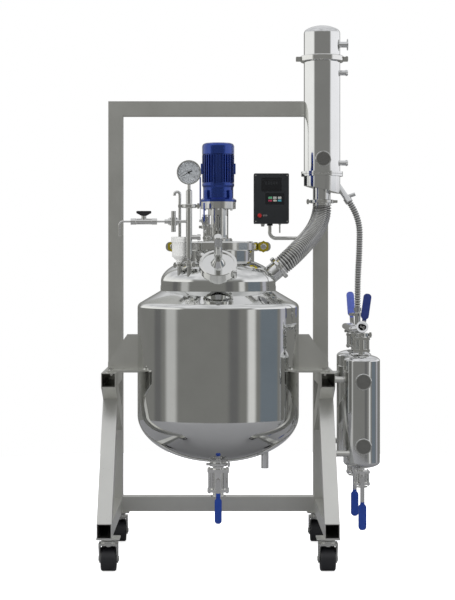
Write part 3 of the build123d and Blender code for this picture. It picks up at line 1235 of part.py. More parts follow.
# Sampling line: cross fitting, pipe, needle valve body and a tail that bends down
branch = spindle(COLUMN_X, COLUMN_Y, BRANCH_Z, (-1, 0, 0), (0, 0, 1))
cross_at = COLUMN_X - CROSS_X
cross_axis = spindle(CROSS_X, COLUMN_Y, BRANCH_Z)
valve_at = COLUMN_X - NEEDLE_VALVE_X
valve_in = valve_at - NEEDLE_VALVE_W / 2
valve_out = valve_at + NEEDLE_VALVE_W / 2
tail_start = Vector(0, 0, 0) + place(NEEDLE_VALVE_X - NEEDLE_VALVE_W / 2 + 2, COLUMN_Y, BRANCH_Z)
tail_path = [tail_start, tail_start + Vector(-LINE_TAIL, 0, 0), tail_start + Vector(-LINE_TAIL, 0, -LINE_DROP)]
with BuildPart() as sample_line:
    add(turned([(0, GAUGE_PIPE.radius + SEAT), (LINE_R + 2, GAUGE_PIPE.radius + SEAT), (LINE_R + 2, cross_at - CROSS_W / 2),
                (CROSS_R - 3, cross_at - CROSS_W / 2), (CROSS_R - 3, cross_at + CROSS_W / 2),
                (NUT_R, cross_at + CROSS_W / 2), (NUT_R, cross_at + CROSS_W / 2 + NUT_L),
                (LINE_R, cross_at + CROSS_W / 2 + NUT_L), (LINE_R, valve_in), (NEEDLE_NUT_R, valve_in),
                (NEEDLE_NUT_R, valve_in + NEEDLE_NUT_L), (NEEDLE_BODY_R, valve_in + NEEDLE_NUT_L + 2),
                (NEEDLE_BODY_R, valve_out - NEEDLE_NUT_L - 2), (NEEDLE_NUT_R, valve_out - NEEDLE_NUT_L),
                (NEEDLE_NUT_R, valve_out), (0, valve_out)], branch))
    add(turned([(0, -CROSS_CAP_H - CROSS_R), (CROSS_CAP_R, -CROSS_CAP_H - CROSS_R), (CROSS_CAP_R, -CROSS_R),
                (CROSS_R, -CROSS_R), (CROSS_R, CROSS_R), (CROSS_CAP_R, CROSS_R), (CROSS_CAP_R, CROSS_CAP_H + CROSS_R),
                (0, CROSS_CAP_H + CROSS_R)], cross_axis))
    add(rod(spindle(NEEDLE_VALVE_X, COLUMN_Y, BRANCH_Z), NEEDLE_BONNET_R, 0, NEEDLE_BONNET_H))
    add(rod(spindle(NEEDLE_VALVE_X, COLUMN_Y, BRANCH_Z), NEEDLE_SPINDLE_R + RUN, -2, NEEDLE_BONNET_H + 1),
        mode=Mode.SUBTRACT)
    add(bent(tail_path, 14, LINE_R))
sample_line.part.label = "sample_line"
export_step(sample_line.part, "parts/sample_line.step")

t_low = BRANCH_Z + NEEDLE_BONNET_H + GAP
with BuildPart() as needle_valve_handle:
    with BuildSketch(facing(COLUMN_Y, NEEDLE_VALVE_X, t_low)):
        with BuildLine():
            Polyline((-NEEDLE_BONNET_R, 0), (NEEDLE_BONNET_R, 0), (T_HANDLE_W / 2, T_HANDLE_H * 0.55),
                     (T_HANDLE_W / 2, T_HANDLE_H), (-T_HANDLE_W / 2, T_HANDLE_H), (-T_HANDLE_W / 2, T_HANDLE_H * 0.55),
                     close=True)
        make_face()
    extrude(amount=T_HANDLE_T / 2, both=True)
    fillet(needle_valve_handle.edges().filter_by(Axis.Y), 3)
    add(rod(spindle(NEEDLE_VALVE_X, COLUMN_Y, BRANCH_Z), NEEDLE_SPINDLE_R, -1, NEEDLE_BONNET_H + GAP + 2))
needle_valve_handle.part.label = "needle_valve_handle"
export_step(needle_valve_handle.part, "parts/needle_valve_handle.step")


# Ball valves: one casing and one lever for each place
up = (0, 0, 1)
toward = Vector(0, -1, 0)
VALVES = {
    "outlet": (spindle(0, 0, OUTLET_VALVE_Z), OUTLET_VALVE, OUTLET_LEVER, OUTLET_VALVE.flange, OUTLET_VALVE.flange, 180.0),
    "lid_front": (spindle(*LID_VALVE_2, up, (0, -1, 0)), LID_VALVE, SHORT_LID_LEVER, LID_VALVE.flange, LID_VALVE.flange, 0.0),
    "lid_rear": (spindle(*LID_VALVE_1, up, (0, -1, 0)), LID_VALVE, LONG_LID_LEVER, LID_VALVE.flange, LID_VALVE.flange, 0.0),
    "receiver_front_top": (spindle(RECEIVER_X, RECEIVER_FRONT_Y, TOP_VALVE_Z, up, (-1, 0, 0)),
                           RECEIVER_VALVE, RECEIVER_LEVER, RECEIVER_VALVE.pipe, RECEIVER_VALVE.flange, 8.0),
    "receiver_rear_top": (spindle(RECEIVER_X, RECEIVER_REAR_Y, TOP_VALVE_Z, up, (-1, 0, 0)),
                          RECEIVER_VALVE, RECEIVER_LEVER, RECEIVER_VALVE.pipe, RECEIVER_VALVE.flange, -4.0),
    "receiver_front_bottom": (spindle(RECEIVER_X, RECEIVER_FRONT_Y, BOTTOM_VALVE_Z), RECEIVER_VALVE, RECEIVER_LEVER,
                              RECEIVER_VALVE.flange, RECEIVER_VALVE.pipe, 180.0),
    "receiver_rear_bottom": (spindle(RECEIVER_X, RECEIVER_REAR_Y, BOTTOM_VALVE_Z), RECEIVER_VALVE, RECEIVER_LEVER,
                             RECEIVER_VALVE.flange, RECEIVER_VALVE.pipe, 180.0),
}
with BuildPart() as ball_valve_bodies:
    for plane, size, lever, low_end, high_end, turn in VALVES.values():
        add(valve_body(plane, size, lever.stem, low_end, high_end))
ball_valve_bodies.part.label = "ball_valve_bodies"
export_step(ball_valve_bodies.part, "parts/ball_valve_bodies.step")

for name, (plane, size, lever, low_end, high_end, turn) in VALVES.items():
    with BuildPart() as valve_handle:
        add(valve_stem(plane, size, lever))
        add(valve_lever(plane, size, lever, turn))
    valve_handle.part.label = f"{name}_lever"
    export_step(valve_handle.part, f"parts/{name}_lever.step")


# Control box on its arm, with a panel and a stop button
box_front = BOX_Y - BOX_D / 2
button_axis = spindle(BUTTON_X, box_front, BUTTON_Z, (0, -1, 0))
with BuildPart() as control_box:
    with BuildSketch(facing(box_front, BOX_X, BOX_BOTTOM + BOX_H / 2)):
        RectangleRounded(BOX_W, BOX_H, BOX_ROUND)
    extrude(amount=-BOX_D)
    with BuildSketch(facing(box_front, BOX_X, PANEL_Z)):
        RectangleRounded(PANEL_W + 2 * SEAT, PANEL_H + 2 * SEAT, 3)
    extrude(amount=-PANEL_T / 2, mode=Mode.SUBTRACT)
    add(turned([(0, 0), (BUTTON_R + 5, 0), (BUTTON_R + 5, 2), (BUTTON_R + 3, 3), (0, 3)], button_axis))
    add(rod(button_axis, BUTTON_R + GAP, -BUTTON_TRAVEL - 4, 4), mode=Mode.SUBTRACT)
    add(rod(spindle(ARM_X, ARM_Y, BOX_BOTTOM), ARM_R + 5, -8, 1))
    add(rod(spindle(ARM_X, ARM_Y, BOX_BOTTOM), ARM_R + SEAT, -9, ARM_GRIP), mode=Mode.SUBTRACT)
control_box.part.label = "control_box"
export_step(control_box.part, "parts/control_box.step")

with BuildPart() as control_panel:
    with BuildSketch(facing(box_front + PANEL_T / 2 - SEAT, BOX_X, PANEL_Z)):
        RectangleRounded(PANEL_W, PANEL_H, 3)
    extrude(amount=PANEL_T)
control_panel.part.label = "control_panel"
export_step(control_panel.part, "parts/control_panel.step")

with BuildPart() as stop_button:
    add(turned([(0, -3), (BUTTON_R, -3), (BUTTON_R, BUTTON_OUT - 2), (BUTTON_R - 2, BUTTON_OUT), (0, BUTTON_OUT)],
               button_axis))
stop_button.part.label = "stop_button"
export_step(stop_button.part, "parts/stop_button.step")

arm_top = place(ARM_X, ARM_Y, BOX_BOTTOM + ARM_GRIP - 1)
arm_path = [arm_top, place(ARM_X, ARM_Y, ARM_Z), place(POST_INNER - SEAT, ARM_Y, ARM_Z)]
with BuildPart() as control_arm:
    add(bent(arm_path, ARM_BEND, ARM_R))
    add(rod(spindle(POST_INNER - SEAT, ARM_Y, ARM_Z, (-1, 0, 0), (0, 0, 1)), 2.5 * ARM_R, 0, 5))
control_arm.part.label = "control_arm"
export_step(control_arm.part, "parts/control_arm.step")


# Condenser: base with skirt and neck, shell, tube bundle, cap
cond_axis = spindle(COND_X, COND_Y, 0)
flange_face = COND_BASE_Z - seal
neck_end = COND_NECK_Z + seal
drain_dir = Vector(*DRAIN_AIM).normalized()
drain_end_axis = spindle(DRAIN_FITTING[0], COND_Y + DRAIN_FITTING[1], DRAIN_FITTING[2], tuple(drain_dir), (0.0, 1.0, 0.0))


def skirt(radius, lift, top):
    """A round block with a slanted underside."""
    fall_line = (SKIRT_RIGHT_Z - SKIRT_LEFT_Z) / (2 * COND_R)
    middle_z = (SKIRT_LEFT_Z + SKIRT_RIGHT_Z) / 2 + lift
    reach = 2 * COND_R
    with BuildPart() as piece:
        add(rod(cond_axis, radius, SKIRT_RIGHT_Z - 30, top))
        with BuildSketch(facing(COND_Y, COND_X)):
            with BuildLine():
                Polyline((-reach, middle_z - fall_line * reach), (reach, middle_z + fall_line * reach),
                         (reach, middle_z - 2 * reach), (-reach, middle_z - 2 * reach), close=True)
            make_face()
        extrude(amount=reach, both=True, mode=Mode.SUBTRACT)
    return piece.part


with BuildPart() as condenser_base:
    add(skirt(COND_R, 0, flange_face - COND_FLANGE_T + 1))
    add(rod(cond_axis, COND_FLANGE_R, flange_face - COND_FLANGE_T, flange_face))
    add(turned([(0, neck_end), (VAPOUR_PIPE.flange, neck_end), (VAPOUR_PIPE.flange, neck_end + FLANGE_T),
                (VAPOUR_PIPE.radius, neck_end + FLANGE_T), (VAPOUR_PIPE.radius, SKIRT_LEFT_Z + 10),
                (0, SKIRT_LEFT_Z + 10)], cond_axis))
    add(turned([(0, -DRAIN_PIPE_L), (DRAIN_PIPE_R, -DRAIN_PIPE_L), (DRAIN_PIPE_R, -22), (DRAIN_PIPE_R + 4, -22),
                (DRAIN_PIPE_R + 4, 0), (0, 0)], drain_end_axis))
    add(rod(spindle(DRAIN_FITTING[0] - 28 * drain_dir.X, COND_Y + DRAIN_FITTING[1] - 28 * drain_dir.Y,
                    DRAIN_FITTING[2] - 28 * drain_dir.Z, (1, 0, 0.35), (0, 1, 0)), DRAIN_CROSS_R, 0, DRAIN_CROSS_OUT))
    add(skirt(COND_R - COND_T, COND_T, flange_face + 1), mode=Mode.SUBTRACT)
    add(rod(cond_axis, VAPOUR_PIPE.bore, neck_end - 1, SKIRT_LEFT_Z + 20), mode=Mode.SUBTRACT)
    add(rod(drain_end_axis, DRAIN_PIPE_R - 2, -DRAIN_PIPE_L, 1), mode=Mode.SUBTRACT)
condenser_base.part.label = "condenser_base"
export_step(condenser_base.part, "parts/condenser_base.step")

shell_low = COND_BASE_Z + seal
shell_high = COND_JOINT_Z - seal
shell_in = COND_R - COND_T
water_ports = [spindle(COND_X, COND_Y, z, (1, 0, 0), up) for z in (WATER_IN_Z, WATER_OUT_Z)]
cond_sight = spindle(COND_X, COND_Y, COND_SIGHT_Z, (0, -1, 0))
with BuildPart() as condenser_shell:
    add(turned([(0, shell_low), (COND_FLANGE_R, shell_low), (COND_FLANGE_R, shell_low + COND_FLANGE_T),
                (COND_R, shell_low + COND_FLANGE_T), (COND_R, shell_high - 6), (COND_JOINT_R, shell_high - 6),
                (COND_JOINT_R, shell_high), (0, shell_high)], cond_axis))
    add(sight_port(cond_sight, COND_R))
    for port in water_ports:
        add(turned([(0, shell_in - 5), (WATER_R, shell_in - 5), (WATER_R, COND_R + PORT_REACH - 10),
                    (WATER_R + 3, COND_R + PORT_REACH - 8), (WATER_R, COND_R + PORT_REACH), (0, COND_R + PORT_REACH)],
                   port))
    add(rod(cond_axis, shell_in, shell_low - 1, shell_high + 1), mode=Mode.SUBTRACT)
    add(sight_bore(cond_sight, COND_R), mode=Mode.SUBTRACT)
    for port in water_ports:
        add(rod(port, WATER_BORE, shell_in - 5, COND_R + PORT_REACH + 1), mode=Mode.SUBTRACT)
condenser_shell.part.label = "condenser_shell"
export_step(condenser_shell.part, "parts/condenser_shell.step")

with BuildPart() as condenser_bundle:
    for z in (WATER_IN_Z, WATER_OUT_Z):
        add(turned([(0, z - 12), (BUNDLE_HEADER_R, z - 12), (BUNDLE_HEADER_R, z + 12), (0, z + 12)], cond_axis))
        add(rod(spindle(COND_X, COND_Y, z, (1, 0, 0), up), WATER_R, BUNDLE_HEADER_R - 5, COND_R))
    with BuildSketch(level(WATER_IN_Z, COND_X, COND_Y)):
        Circle(BUNDLE_R)
        with PolarLocations(BUNDLE_PITCH_R, 6):
            Circle(BUNDLE_R)
    extrude(amount=WATER_OUT_Z - WATER_IN_Z)
    add(rod(cond_axis, shell_in - CURVE, shell_low, shell_high), mode=Mode.INTERSECT)
    for port in water_ports:
        add(rod(port, FEED_BORE, shell_in - FEED_DEPTH, COND_R), mode=Mode.SUBTRACT)
condenser_bundle.part.label = "condenser_bundle"
export_step(condenser_bundle.part, "parts/condenser_bundle.step")

cap_low = COND_JOINT_Z + seal
vent_port = spindle(COND_X, COND_Y, TOP_PORT_Z, (1, 0, 0), up)
vent_end = COND_R + PORT_REACH
with BuildPart() as condenser_cap:
    add(dished(cond_axis, COND_R, COND_KNUCKLE, COND_TANGENT, COND_RISE, cap_low))
    add(rod(cond_axis, COND_JOINT_R, cap_low, cap_low + 6))
    add(turned([(0, shell_in - 5), (PIPE_R, shell_in - 5), (PIPE_R, vent_end - FLANGE_T), (GAUGE_PIPE.flange, vent_end - FLANGE_T),
                (GAUGE_PIPE.flange, vent_end), (0, vent_end)], vent_port))
    add(dished(cond_axis, shell_in, COND_KNUCKLE - COND_T, COND_TANGENT, COND_RISE - COND_T, cap_low - 1),
        mode=Mode.SUBTRACT)
    add(rod(vent_port, GAUGE_PIPE.bore, shell_in - 5, vent_end + 1), mode=Mode.SUBTRACT)
condenser_cap.part.label = "condenser_cap"
export_step(condenser_cap.part, "parts/condenser_cap.step")

# Receivers: two tanks with sight glasses
RECEIVER_PLACES = (RECEIVER_FRONT_Y, RECEIVER_REAR_Y)
with BuildPart() as receivers:
    for y in RECEIVER_PLACES:
        tank = spindle(RECEIVER_X, y, 0)
        ports = [spindle(RECEIVER_X, y, z, (0, -1, 0)) for z in RECEIVER_SIGHTS]
        add(capsule(tank, RECEIVER_R, RECEIVER_LOW, RECEIVER_HIGH, RECEIVER_RISE))
        add(rod(tank, PIPE_R, RECEIVER_BOTTOM, RECEIVER_TOP))
        for port in ports:
            add(sight_port(port, RECEIVER_R))
        add(capsule(tank, RECEIVER_R - RECEIVER_T, RECEIVER_LOW, RECEIVER_HIGH, RECEIVER_RISE - RECEIVER_T),
            mode=Mode.SUBTRACT)
        for port in ports:
            add(sight_bore(port, RECEIVER_R), mode=Mode.SUBTRACT)
        add(rod(tank, RECEIVER_VALVE.bore, RECEIVER_BOTTOM - 1, RECEIVER_TOP + 1), mode=Mode.SUBTRACT)
receivers.part.label = "receivers"
export_step(receivers.part, "parts/receivers.step")

with BuildPart() as glasses:
    add(rod(gauge_axis, GAUGE_R - 4 - SEAT, glass_low, glass_low + GLASS_T))
    glass_ports = [(spindle(RECEIVER_X, y, z, (0, -1, 0)), RECEIVER_R) for y in RECEIVER_PLACES for z in RECEIVER_SIGHTS]
    glass_ports.append((cond_sight, COND_R))
    for port, shell in glass_ports:
        glass_back = shell + SIGHT_REACH - SIGHT_GLASS_T + SEAT
        add(rod(port, SIGHT_BORE + 3 - SEAT, glass_back, shell + SIGHT_REACH - 0.5))
glasses.part.label = "glasses"
export_step(glasses.part, "parts/glasses.step")


# Pipework over the receivers: a pipe between the two top valves, a riser, an open mouth and the hose's tail
manifold_low = TOP_VALVE_Z + RECEIVER_VALVE.half + 2 * seal - SEAT
mouth_dir = (0.0, -sin(radians(MOUTH_TILT)), cos(radians(MOUTH_TILT)))
mouth = spindle(RECEIVER_X, RECEIVER_FRONT_Y, MANIFOLD_Z, mouth_dir)
front_drop = place(RECEIVER_X, RECEIVER_FRONT_Y, 0)
rear_drop = place(RECEIVER_X, RECEIVER_REAR_Y, 0)
run_front = place(MANIFOLD_X, RECEIVER_FRONT_Y, MANIFOLD_Z)
run_rear = place(MANIFOLD_X, RECEIVER_REAR_Y, MANIFOLD_Z)
high = Vector(0, 0, 1)
run_path = [front_drop + high * manifold_low, front_drop + high * MANIFOLD_Z, run_front, run_rear,
            rear_drop + high * MANIFOLD_Z, rear_drop + high * manifold_low]
riser_top = MANIFOLD_JOINT_Z - seal
drain_foot = MANIFOLD_JOINT_Z + seal
riser = spindle(RECEIVER_X, MANIFOLD_Y, 0)
riser_path = [place(MANIFOLD_X, MANIFOLD_Y, MANIFOLD_Z), place(RECEIVER_X, MANIFOLD_Y, MANIFOLD_Z),
              place(RECEIVER_X, MANIFOLD_Y, riser_top)]
with BuildPart() as receiver_pipework:
    add(bent(run_path, ELBOW_R, PIPE_R))
    add(bent(riser_path, ELBOW_R, PIPE_R))
    add(rod(riser, HOSE_PIPE.flange, riser_top - FLANGE_T, riser_top))
    for y in RECEIVER_PLACES:
        add(rod(spindle(RECEIVER_X, y, 0), RECEIVER_VALVE.flange, manifold_low, manifold_low + FLANGE_T))
    add(turned([(0, 0), (PIPE_R, 0), (PIPE_R, MOUTH_REACH - 10), (GAUGE_PIPE.flange, MOUTH_REACH - FLANGE_T - 1),
                (GAUGE_PIPE.flange, MOUTH_REACH), (0, MOUTH_REACH)], mouth))
    add(bent(run_path, ELBOW_R, GAUGE_PIPE.bore), mode=Mode.SUBTRACT)
    add(bent(riser_path, ELBOW_R, GAUGE_PIPE.bore), mode=Mode.SUBTRACT)
    add(rod(mouth, GAUGE_PIPE.bore, 0, MOUTH_REACH + 1), mode=Mode.SUBTRACT)
    add(turned([(0, MOUTH_REACH - 12), (GAUGE_PIPE.bore, MOUTH_REACH - 12), (MOUTH_R, MOUTH_REACH - 1),
                (MOUTH_R, MOUTH_REACH + 1), (0, MOUTH_REACH + 1)], mouth), mode=Mode.SUBTRACT)
    add(turned([(HOSE_PIPE.bore, drain_foot), (HOSE_PIPE.flange, drain_foot), (HOSE_PIPE.flange, drain_foot + FLANGE_T),
                (PIPE_R, drain_foot + FLANGE_T), (PIPE_R, drain_foot + TAIL_L - SLEEVE_L),
                (HOSE_R + 2, drain_foot + TAIL_L - SLEEVE_L), (HOSE_R + 2, drain_foot + TAIL_L),
                (HOSE_PIPE.bore, drain_foot + TAIL_L)], riser))
receiver_pipework.part.label = "receiver_pipework"
export_step(receiver_pipework.part, "parts/receiver_pipework.step")

# Brackets: saddles between the post and the condenser, and pipes that carry the receivers
shell_cut = rod(cond_axis, COND_R + CURVE, SADDLE_Z[0] - SADDLE_H, SADDLE_Z[1] + SADDLE_H)
bracket_pipes = [(RAIL_OUTER, RECEIVER_FRONT_Y, BRACKET_HIGH_Z), (RAIL_OUTER, RECEIVER_REAR_Y, BRACKET_HIGH_Z),
                 (RAIL_OUTER, BRACKET_LOW_Y[0], BRACKET_LOW_Z), (POST_OUTER, BRACKET_LOW_Y[1], BRACKET_LOW_Z)]
with BuildPart() as brackets:
    for z in SADDLE_Z:
        with BuildSketch(facing(POST_FRONT - SEAT, COND_X, z)):
            RectangleRounded(SADDLE_W, SADDLE_H, 4)
        extrude(amount=POST_FRONT - COND_Y - COND_R * 0.8)
    add(shell_cut, mode=Mode.SUBTRACT)
    for x, y, z in bracket_pipes:
        add(rod(spindle(x + SEAT, y, z, (1, 0, 0), up), BRACKET_R, 0, RECEIVER_X - x - RECEIVER_R / 3))
    for y in RECEIVER_PLACES:
        add(rod(spindle(RECEIVER_X, y, 0), RECEIVER_R + CURVE, BRACKET_LOW_Z - 50, BRACKET_HIGH_Z + 50), mode=Mode.SUBTRACT)
brackets.part.label = "brackets"
export_step(brackets.part, "parts/brackets.step")


# Vapour hose from the head to the condenser's neck
hose_foot = vapour_axis.origin + vapour_dir * (VAPOUR_STUB + seal)
hose_top = place(COND_X, COND_Y, COND_NECK_Z - seal)
vapour_path = [hose_foot + vapour_dir * CUFF_L, hose_foot + vapour_dir * VAPOUR_RUN_LOW,
               hose_top - high * VAPOUR_RUN_HIGH, hose_top - high * CUFF_L]


def corner_radii(points):
    """The largest even arc at each corner of a route: 0.45 of its shorter run over the half turn's tangent."""
    found = []
    for before, corner, after in zip(points, points[1:], points[2:]):
        first, second = corner - before, after - corner
        found.append(0.45 * min(first.length, second.length) / tan(radians(first.get_angle(second) / 2)))
    return found


hose_start = Plane(origin=hose_foot, z_dir=vapour_dir)
hose_finish = Plane(origin=hose_top, z_dir=(0, 0, -1))
with BuildLine() as vapour_route:
    FilletPolyline(*vapour_path, radius=corner_radii(vapour_path))
with BuildPart() as vapour_hose:
    with BuildSketch(hose_start.offset(CUFF_L)):
        Circle(VAPOUR_HOSE_R)
        Circle(VAPOUR_HOSE_R - VAPOUR_HOSE_T, mode=Mode.SUBTRACT)
    sweep(path=vapour_route.line)
    for plane in (hose_start, hose_finish):
        for radius, length in ((VAPOUR_PIPE.flange, FLANGE_T), (VAPOUR_PIPE.radius, CUFF_L + 4)):
            with BuildSketch(plane):
                Circle(radius)
                Circle(VAPOUR_PIPE.bore, mode=Mode.SUBTRACT)
            extrude(amount=length)
        with BuildSketch(plane.offset(CUFF_L)):
            Circle(VAPOUR_HOSE_R)
            Circle(VAPOUR_PIPE.bore, mode=Mode.SUBTRACT)
        extrude(amount=4)
vapour_hose.part.label = "vapour_hose"
export_step(vapour_hose.part, "parts/vapour_hose.step")


# Drain hose from the condenser's fitting to the riser over the receivers
drain_start = drain_end_axis.origin + drain_dir * SEAT
drain_finish = place(RECEIVER_X, MANIFOLD_Y, drain_foot + TAIL_L + SEAT)
drain_path = [drain_start, drain_start + drain_dir * DRAIN_FIRST_RUN, drain_finish + Vector(*DRAIN_ELBOW),
              drain_finish + high * DRAIN_LAST_RUN, drain_finish]
drain_radii = corner_radii(drain_path)
print("drain hose radii", [round(r) for r in drain_radii], "vapour hose radii", [round(r) for r in corner_radii(vapour_path)])
with BuildLine() as drain_route:
    FilletPolyline(*drain_path, radius=drain_radii)
with BuildPart() as drain_hose:
    with BuildSketch(Plane(origin=drain_start, z_dir=drain_dir)):
        Circle(HOSE_R)
    sweep(path=drain_route.line)
print("drain hose length", round(drain_route.wire().length, 1),
      "volume ratio", round(drain_hose.part.volume / (pi * HOSE_R**2 * drain_route.wire().length), 4))
drain_hose.part.label = "drain_hose"
export_step(drain_hose.part, "parts/drain_hose.step")


# Clamps with wing nuts at each clamped joint, and the seals between the flanges
outlet_joint = Pipe(OUTLET_R, OUTLET_BORE, OUTLET_VALVE.flange)
shell_joint = Pipe(COND_R, shell_in, COND_JOINT_R)
across_head = spindle(*(hose_foot - vapour_dir * seal - place(0, 0, 0)), tuple(vapour_dir), (0, -1, 0))
JOINTS = [
    (spindle(COLUMN_X, COLUMN_Y, COLUMN_JOINT_Z), MINI, 5.0, 8.0),
    (spindle(CUP_X, CUP_Y, CUP_JOINT_Z, out=(-1, 0, 0)), MINI, 5.0, 8.0),
    (spindle(COLUMN_X, COLUMN_Y, COLUMN_TOP_Z), GAUGE_PIPE, 5.5, 13.0),
    (spindle(LID_VALVE_1[0], LID_VALVE_1[1], LID_VALVE_1[2] - LID_VALVE.half - seal), MINI, 5.0, 8.0),
    (spindle(LID_VALVE_2[0], LID_VALVE_2[1], LID_VALVE_2[2] - LID_VALVE.half - seal), MINI, 5.0, 8.0),
    (across_head, VAPOUR_PIPE, 7.0, 14.0),
    (spindle(COND_X, COND_Y, COND_NECK_Z, out=(-1, 0, 0)), VAPOUR_PIPE, 7.0, 14.0),
    (spindle(RECEIVER_X, MANIFOLD_Y, MANIFOLD_JOINT_Z), HOSE_PIPE, 6.0, 10.0),
    (spindle(RECEIVER_X, RECEIVER_FRONT_Y, manifold_low - seal, out=(1, 0, 0)), GAUGE_PIPE, 5.5, 10.0),
    (spindle(RECEIVER_X, RECEIVER_REAR_Y, manifold_low - seal, out=(1, 0, 0)), GAUGE_PIPE, 5.5, 10.0),
]
with BuildPart() as tri_clamps:
    for joint, size, wall, ear in JOINTS:
        add(clamp(joint, size, wall=wall, ear=ear))
    add(clamp(spindle(0, 0, OUTLET_END - SEAT / 2), outlet_joint, half=FLANGE_T + SEAT, wall=6.0, ear=12.0))
    add(clamp(spindle(COND_X, COND_Y, COND_JOINT_Z), shell_joint, half=6 + seal, lip=6.0, wall=7.0, ear=18.0))
tri_clamps.part.label = "tri_clamps"
export_step(tri_clamps.part, "parts/tri_clamps.step")

with BuildPart() as gaskets:
    for joint, size, wall, ear in JOINTS:
        add(pipe(joint, size.flange - 2, size.bore, -SEAL_T / 2, SEAL_T / 2))
    add(pipe(cond_axis, COND_JOINT_R - 2, shell_in, COND_JOINT_Z - SEAL_T / 2, COND_JOINT_Z + SEAL_T / 2))
    add(pipe(cond_axis, COND_FLANGE_R - 3, shell_in, COND_BASE_Z - SEAL_T / 2, COND_BASE_Z + SEAL_T / 2))
    add(pipe(axis, NECK_FLANGE_R - 2, NECK_R - NECK_T, NECK_TOP + SEAT, LID_BOTTOM - SEAT))
    add(pipe(port_axis, PORT_FLANGE_R - 2, PORT_PIPE_R - PORT_PIPE_T, port_face + SEAT, port_seal - SEAT))
gaskets.part.label = "gaskets"
export_step(gaskets.part, "parts/gaskets.step")
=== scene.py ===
"""Dresses the jacketed stainless steel reactor: finishes, hoses, dial, keys, light and camera."""

import json
import logging
import math
from dataclasses import dataclass
from enum import Enum
from typing import Any, Iterable, Optional, Sequence, Union

import bmesh
import bpy
from mathutils import Matrix, Vector


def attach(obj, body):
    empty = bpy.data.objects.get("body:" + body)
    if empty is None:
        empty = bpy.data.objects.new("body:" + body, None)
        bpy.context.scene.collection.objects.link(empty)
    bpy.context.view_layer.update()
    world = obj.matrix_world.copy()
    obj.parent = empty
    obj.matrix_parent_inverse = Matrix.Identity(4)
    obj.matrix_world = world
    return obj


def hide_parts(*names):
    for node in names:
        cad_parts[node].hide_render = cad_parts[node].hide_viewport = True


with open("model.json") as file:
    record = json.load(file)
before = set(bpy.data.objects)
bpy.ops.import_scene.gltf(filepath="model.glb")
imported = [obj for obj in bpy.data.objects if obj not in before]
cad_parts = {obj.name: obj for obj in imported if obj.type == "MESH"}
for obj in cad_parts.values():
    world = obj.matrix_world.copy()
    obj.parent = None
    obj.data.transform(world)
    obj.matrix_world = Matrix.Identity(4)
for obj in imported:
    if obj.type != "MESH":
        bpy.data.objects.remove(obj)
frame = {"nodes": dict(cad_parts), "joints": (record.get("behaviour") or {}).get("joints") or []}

LOG = logging.getLogger("reactor")
MM = 0.001
VALLEY_SHADE_ATTRIBUTE = "groove"  # the attribute that says how deep in a hose's valley a point lies, which sets the hose's painted shade
SHADER = "Principled BSDF"
BUMP_METRES = 0.001  # how high a bump of 1 stands
SENSOR = 36.0
POLE_RADIUS = 1e-5  # what a turned outline keeps open at its axis, in metres

FRONT = Vector((0.0, -1.0, 0.0))
UP = Vector((0.0, 0.0, 1.0))

# Places in millimetres, beside and behind the vessel's axis and above the floor
AXIS = Vector((-93.25, -15.0, 0.0))
CAMERA_PLACE = Vector((0.0, -6572.0, 1247.0))
FOCAL_PIXELS = 1550.0
IMAGE_SIZE = (455.0, 600.0)
PRINCIPAL_POINT = (218.2, 262.0)

Colour = tuple[float, float, float]
Point = tuple[float, float, float]
Outline = Sequence[tuple[float, float]]
Input = Union[float, Sequence[float], bpy.types.NodeSocket]


class Slot(Enum):
    """The record's material slots."""

    POLISHED = "polished_steel"
    SATIN = "satin_steel"
    CORRUGATED = "corrugated_steel"
    WHITE = "white_plastic"
    POINTER = "pointer_black"
    PANEL = "panel_grey"
    BLACK = "black_plastic"


def place(x: float, y: float, z: float) -> Vector:
    """Gives a point of the model in metres.

    Args:
        x: Millimetres to the right of the vessel's axis.
        y: Millimetres behind the vessel's axis.
        z: Millimetres above the floor.

    Returns:
        The point in the frame's own metres.
    """
    return (AXIS + Vector((x, y, z))) * MM


def metres(outline: Outline) -> list[tuple[float, float]]:
    """Turns an outline's millimetres into metres."""
    return [(radius * MM, height * MM) for radius, height in outline]


def shade(colour: Colour, share: float) -> Colour:
    """Makes a colour darker or paler, at most white."""
    return tuple(min(1.0, part * share) for part in colour)


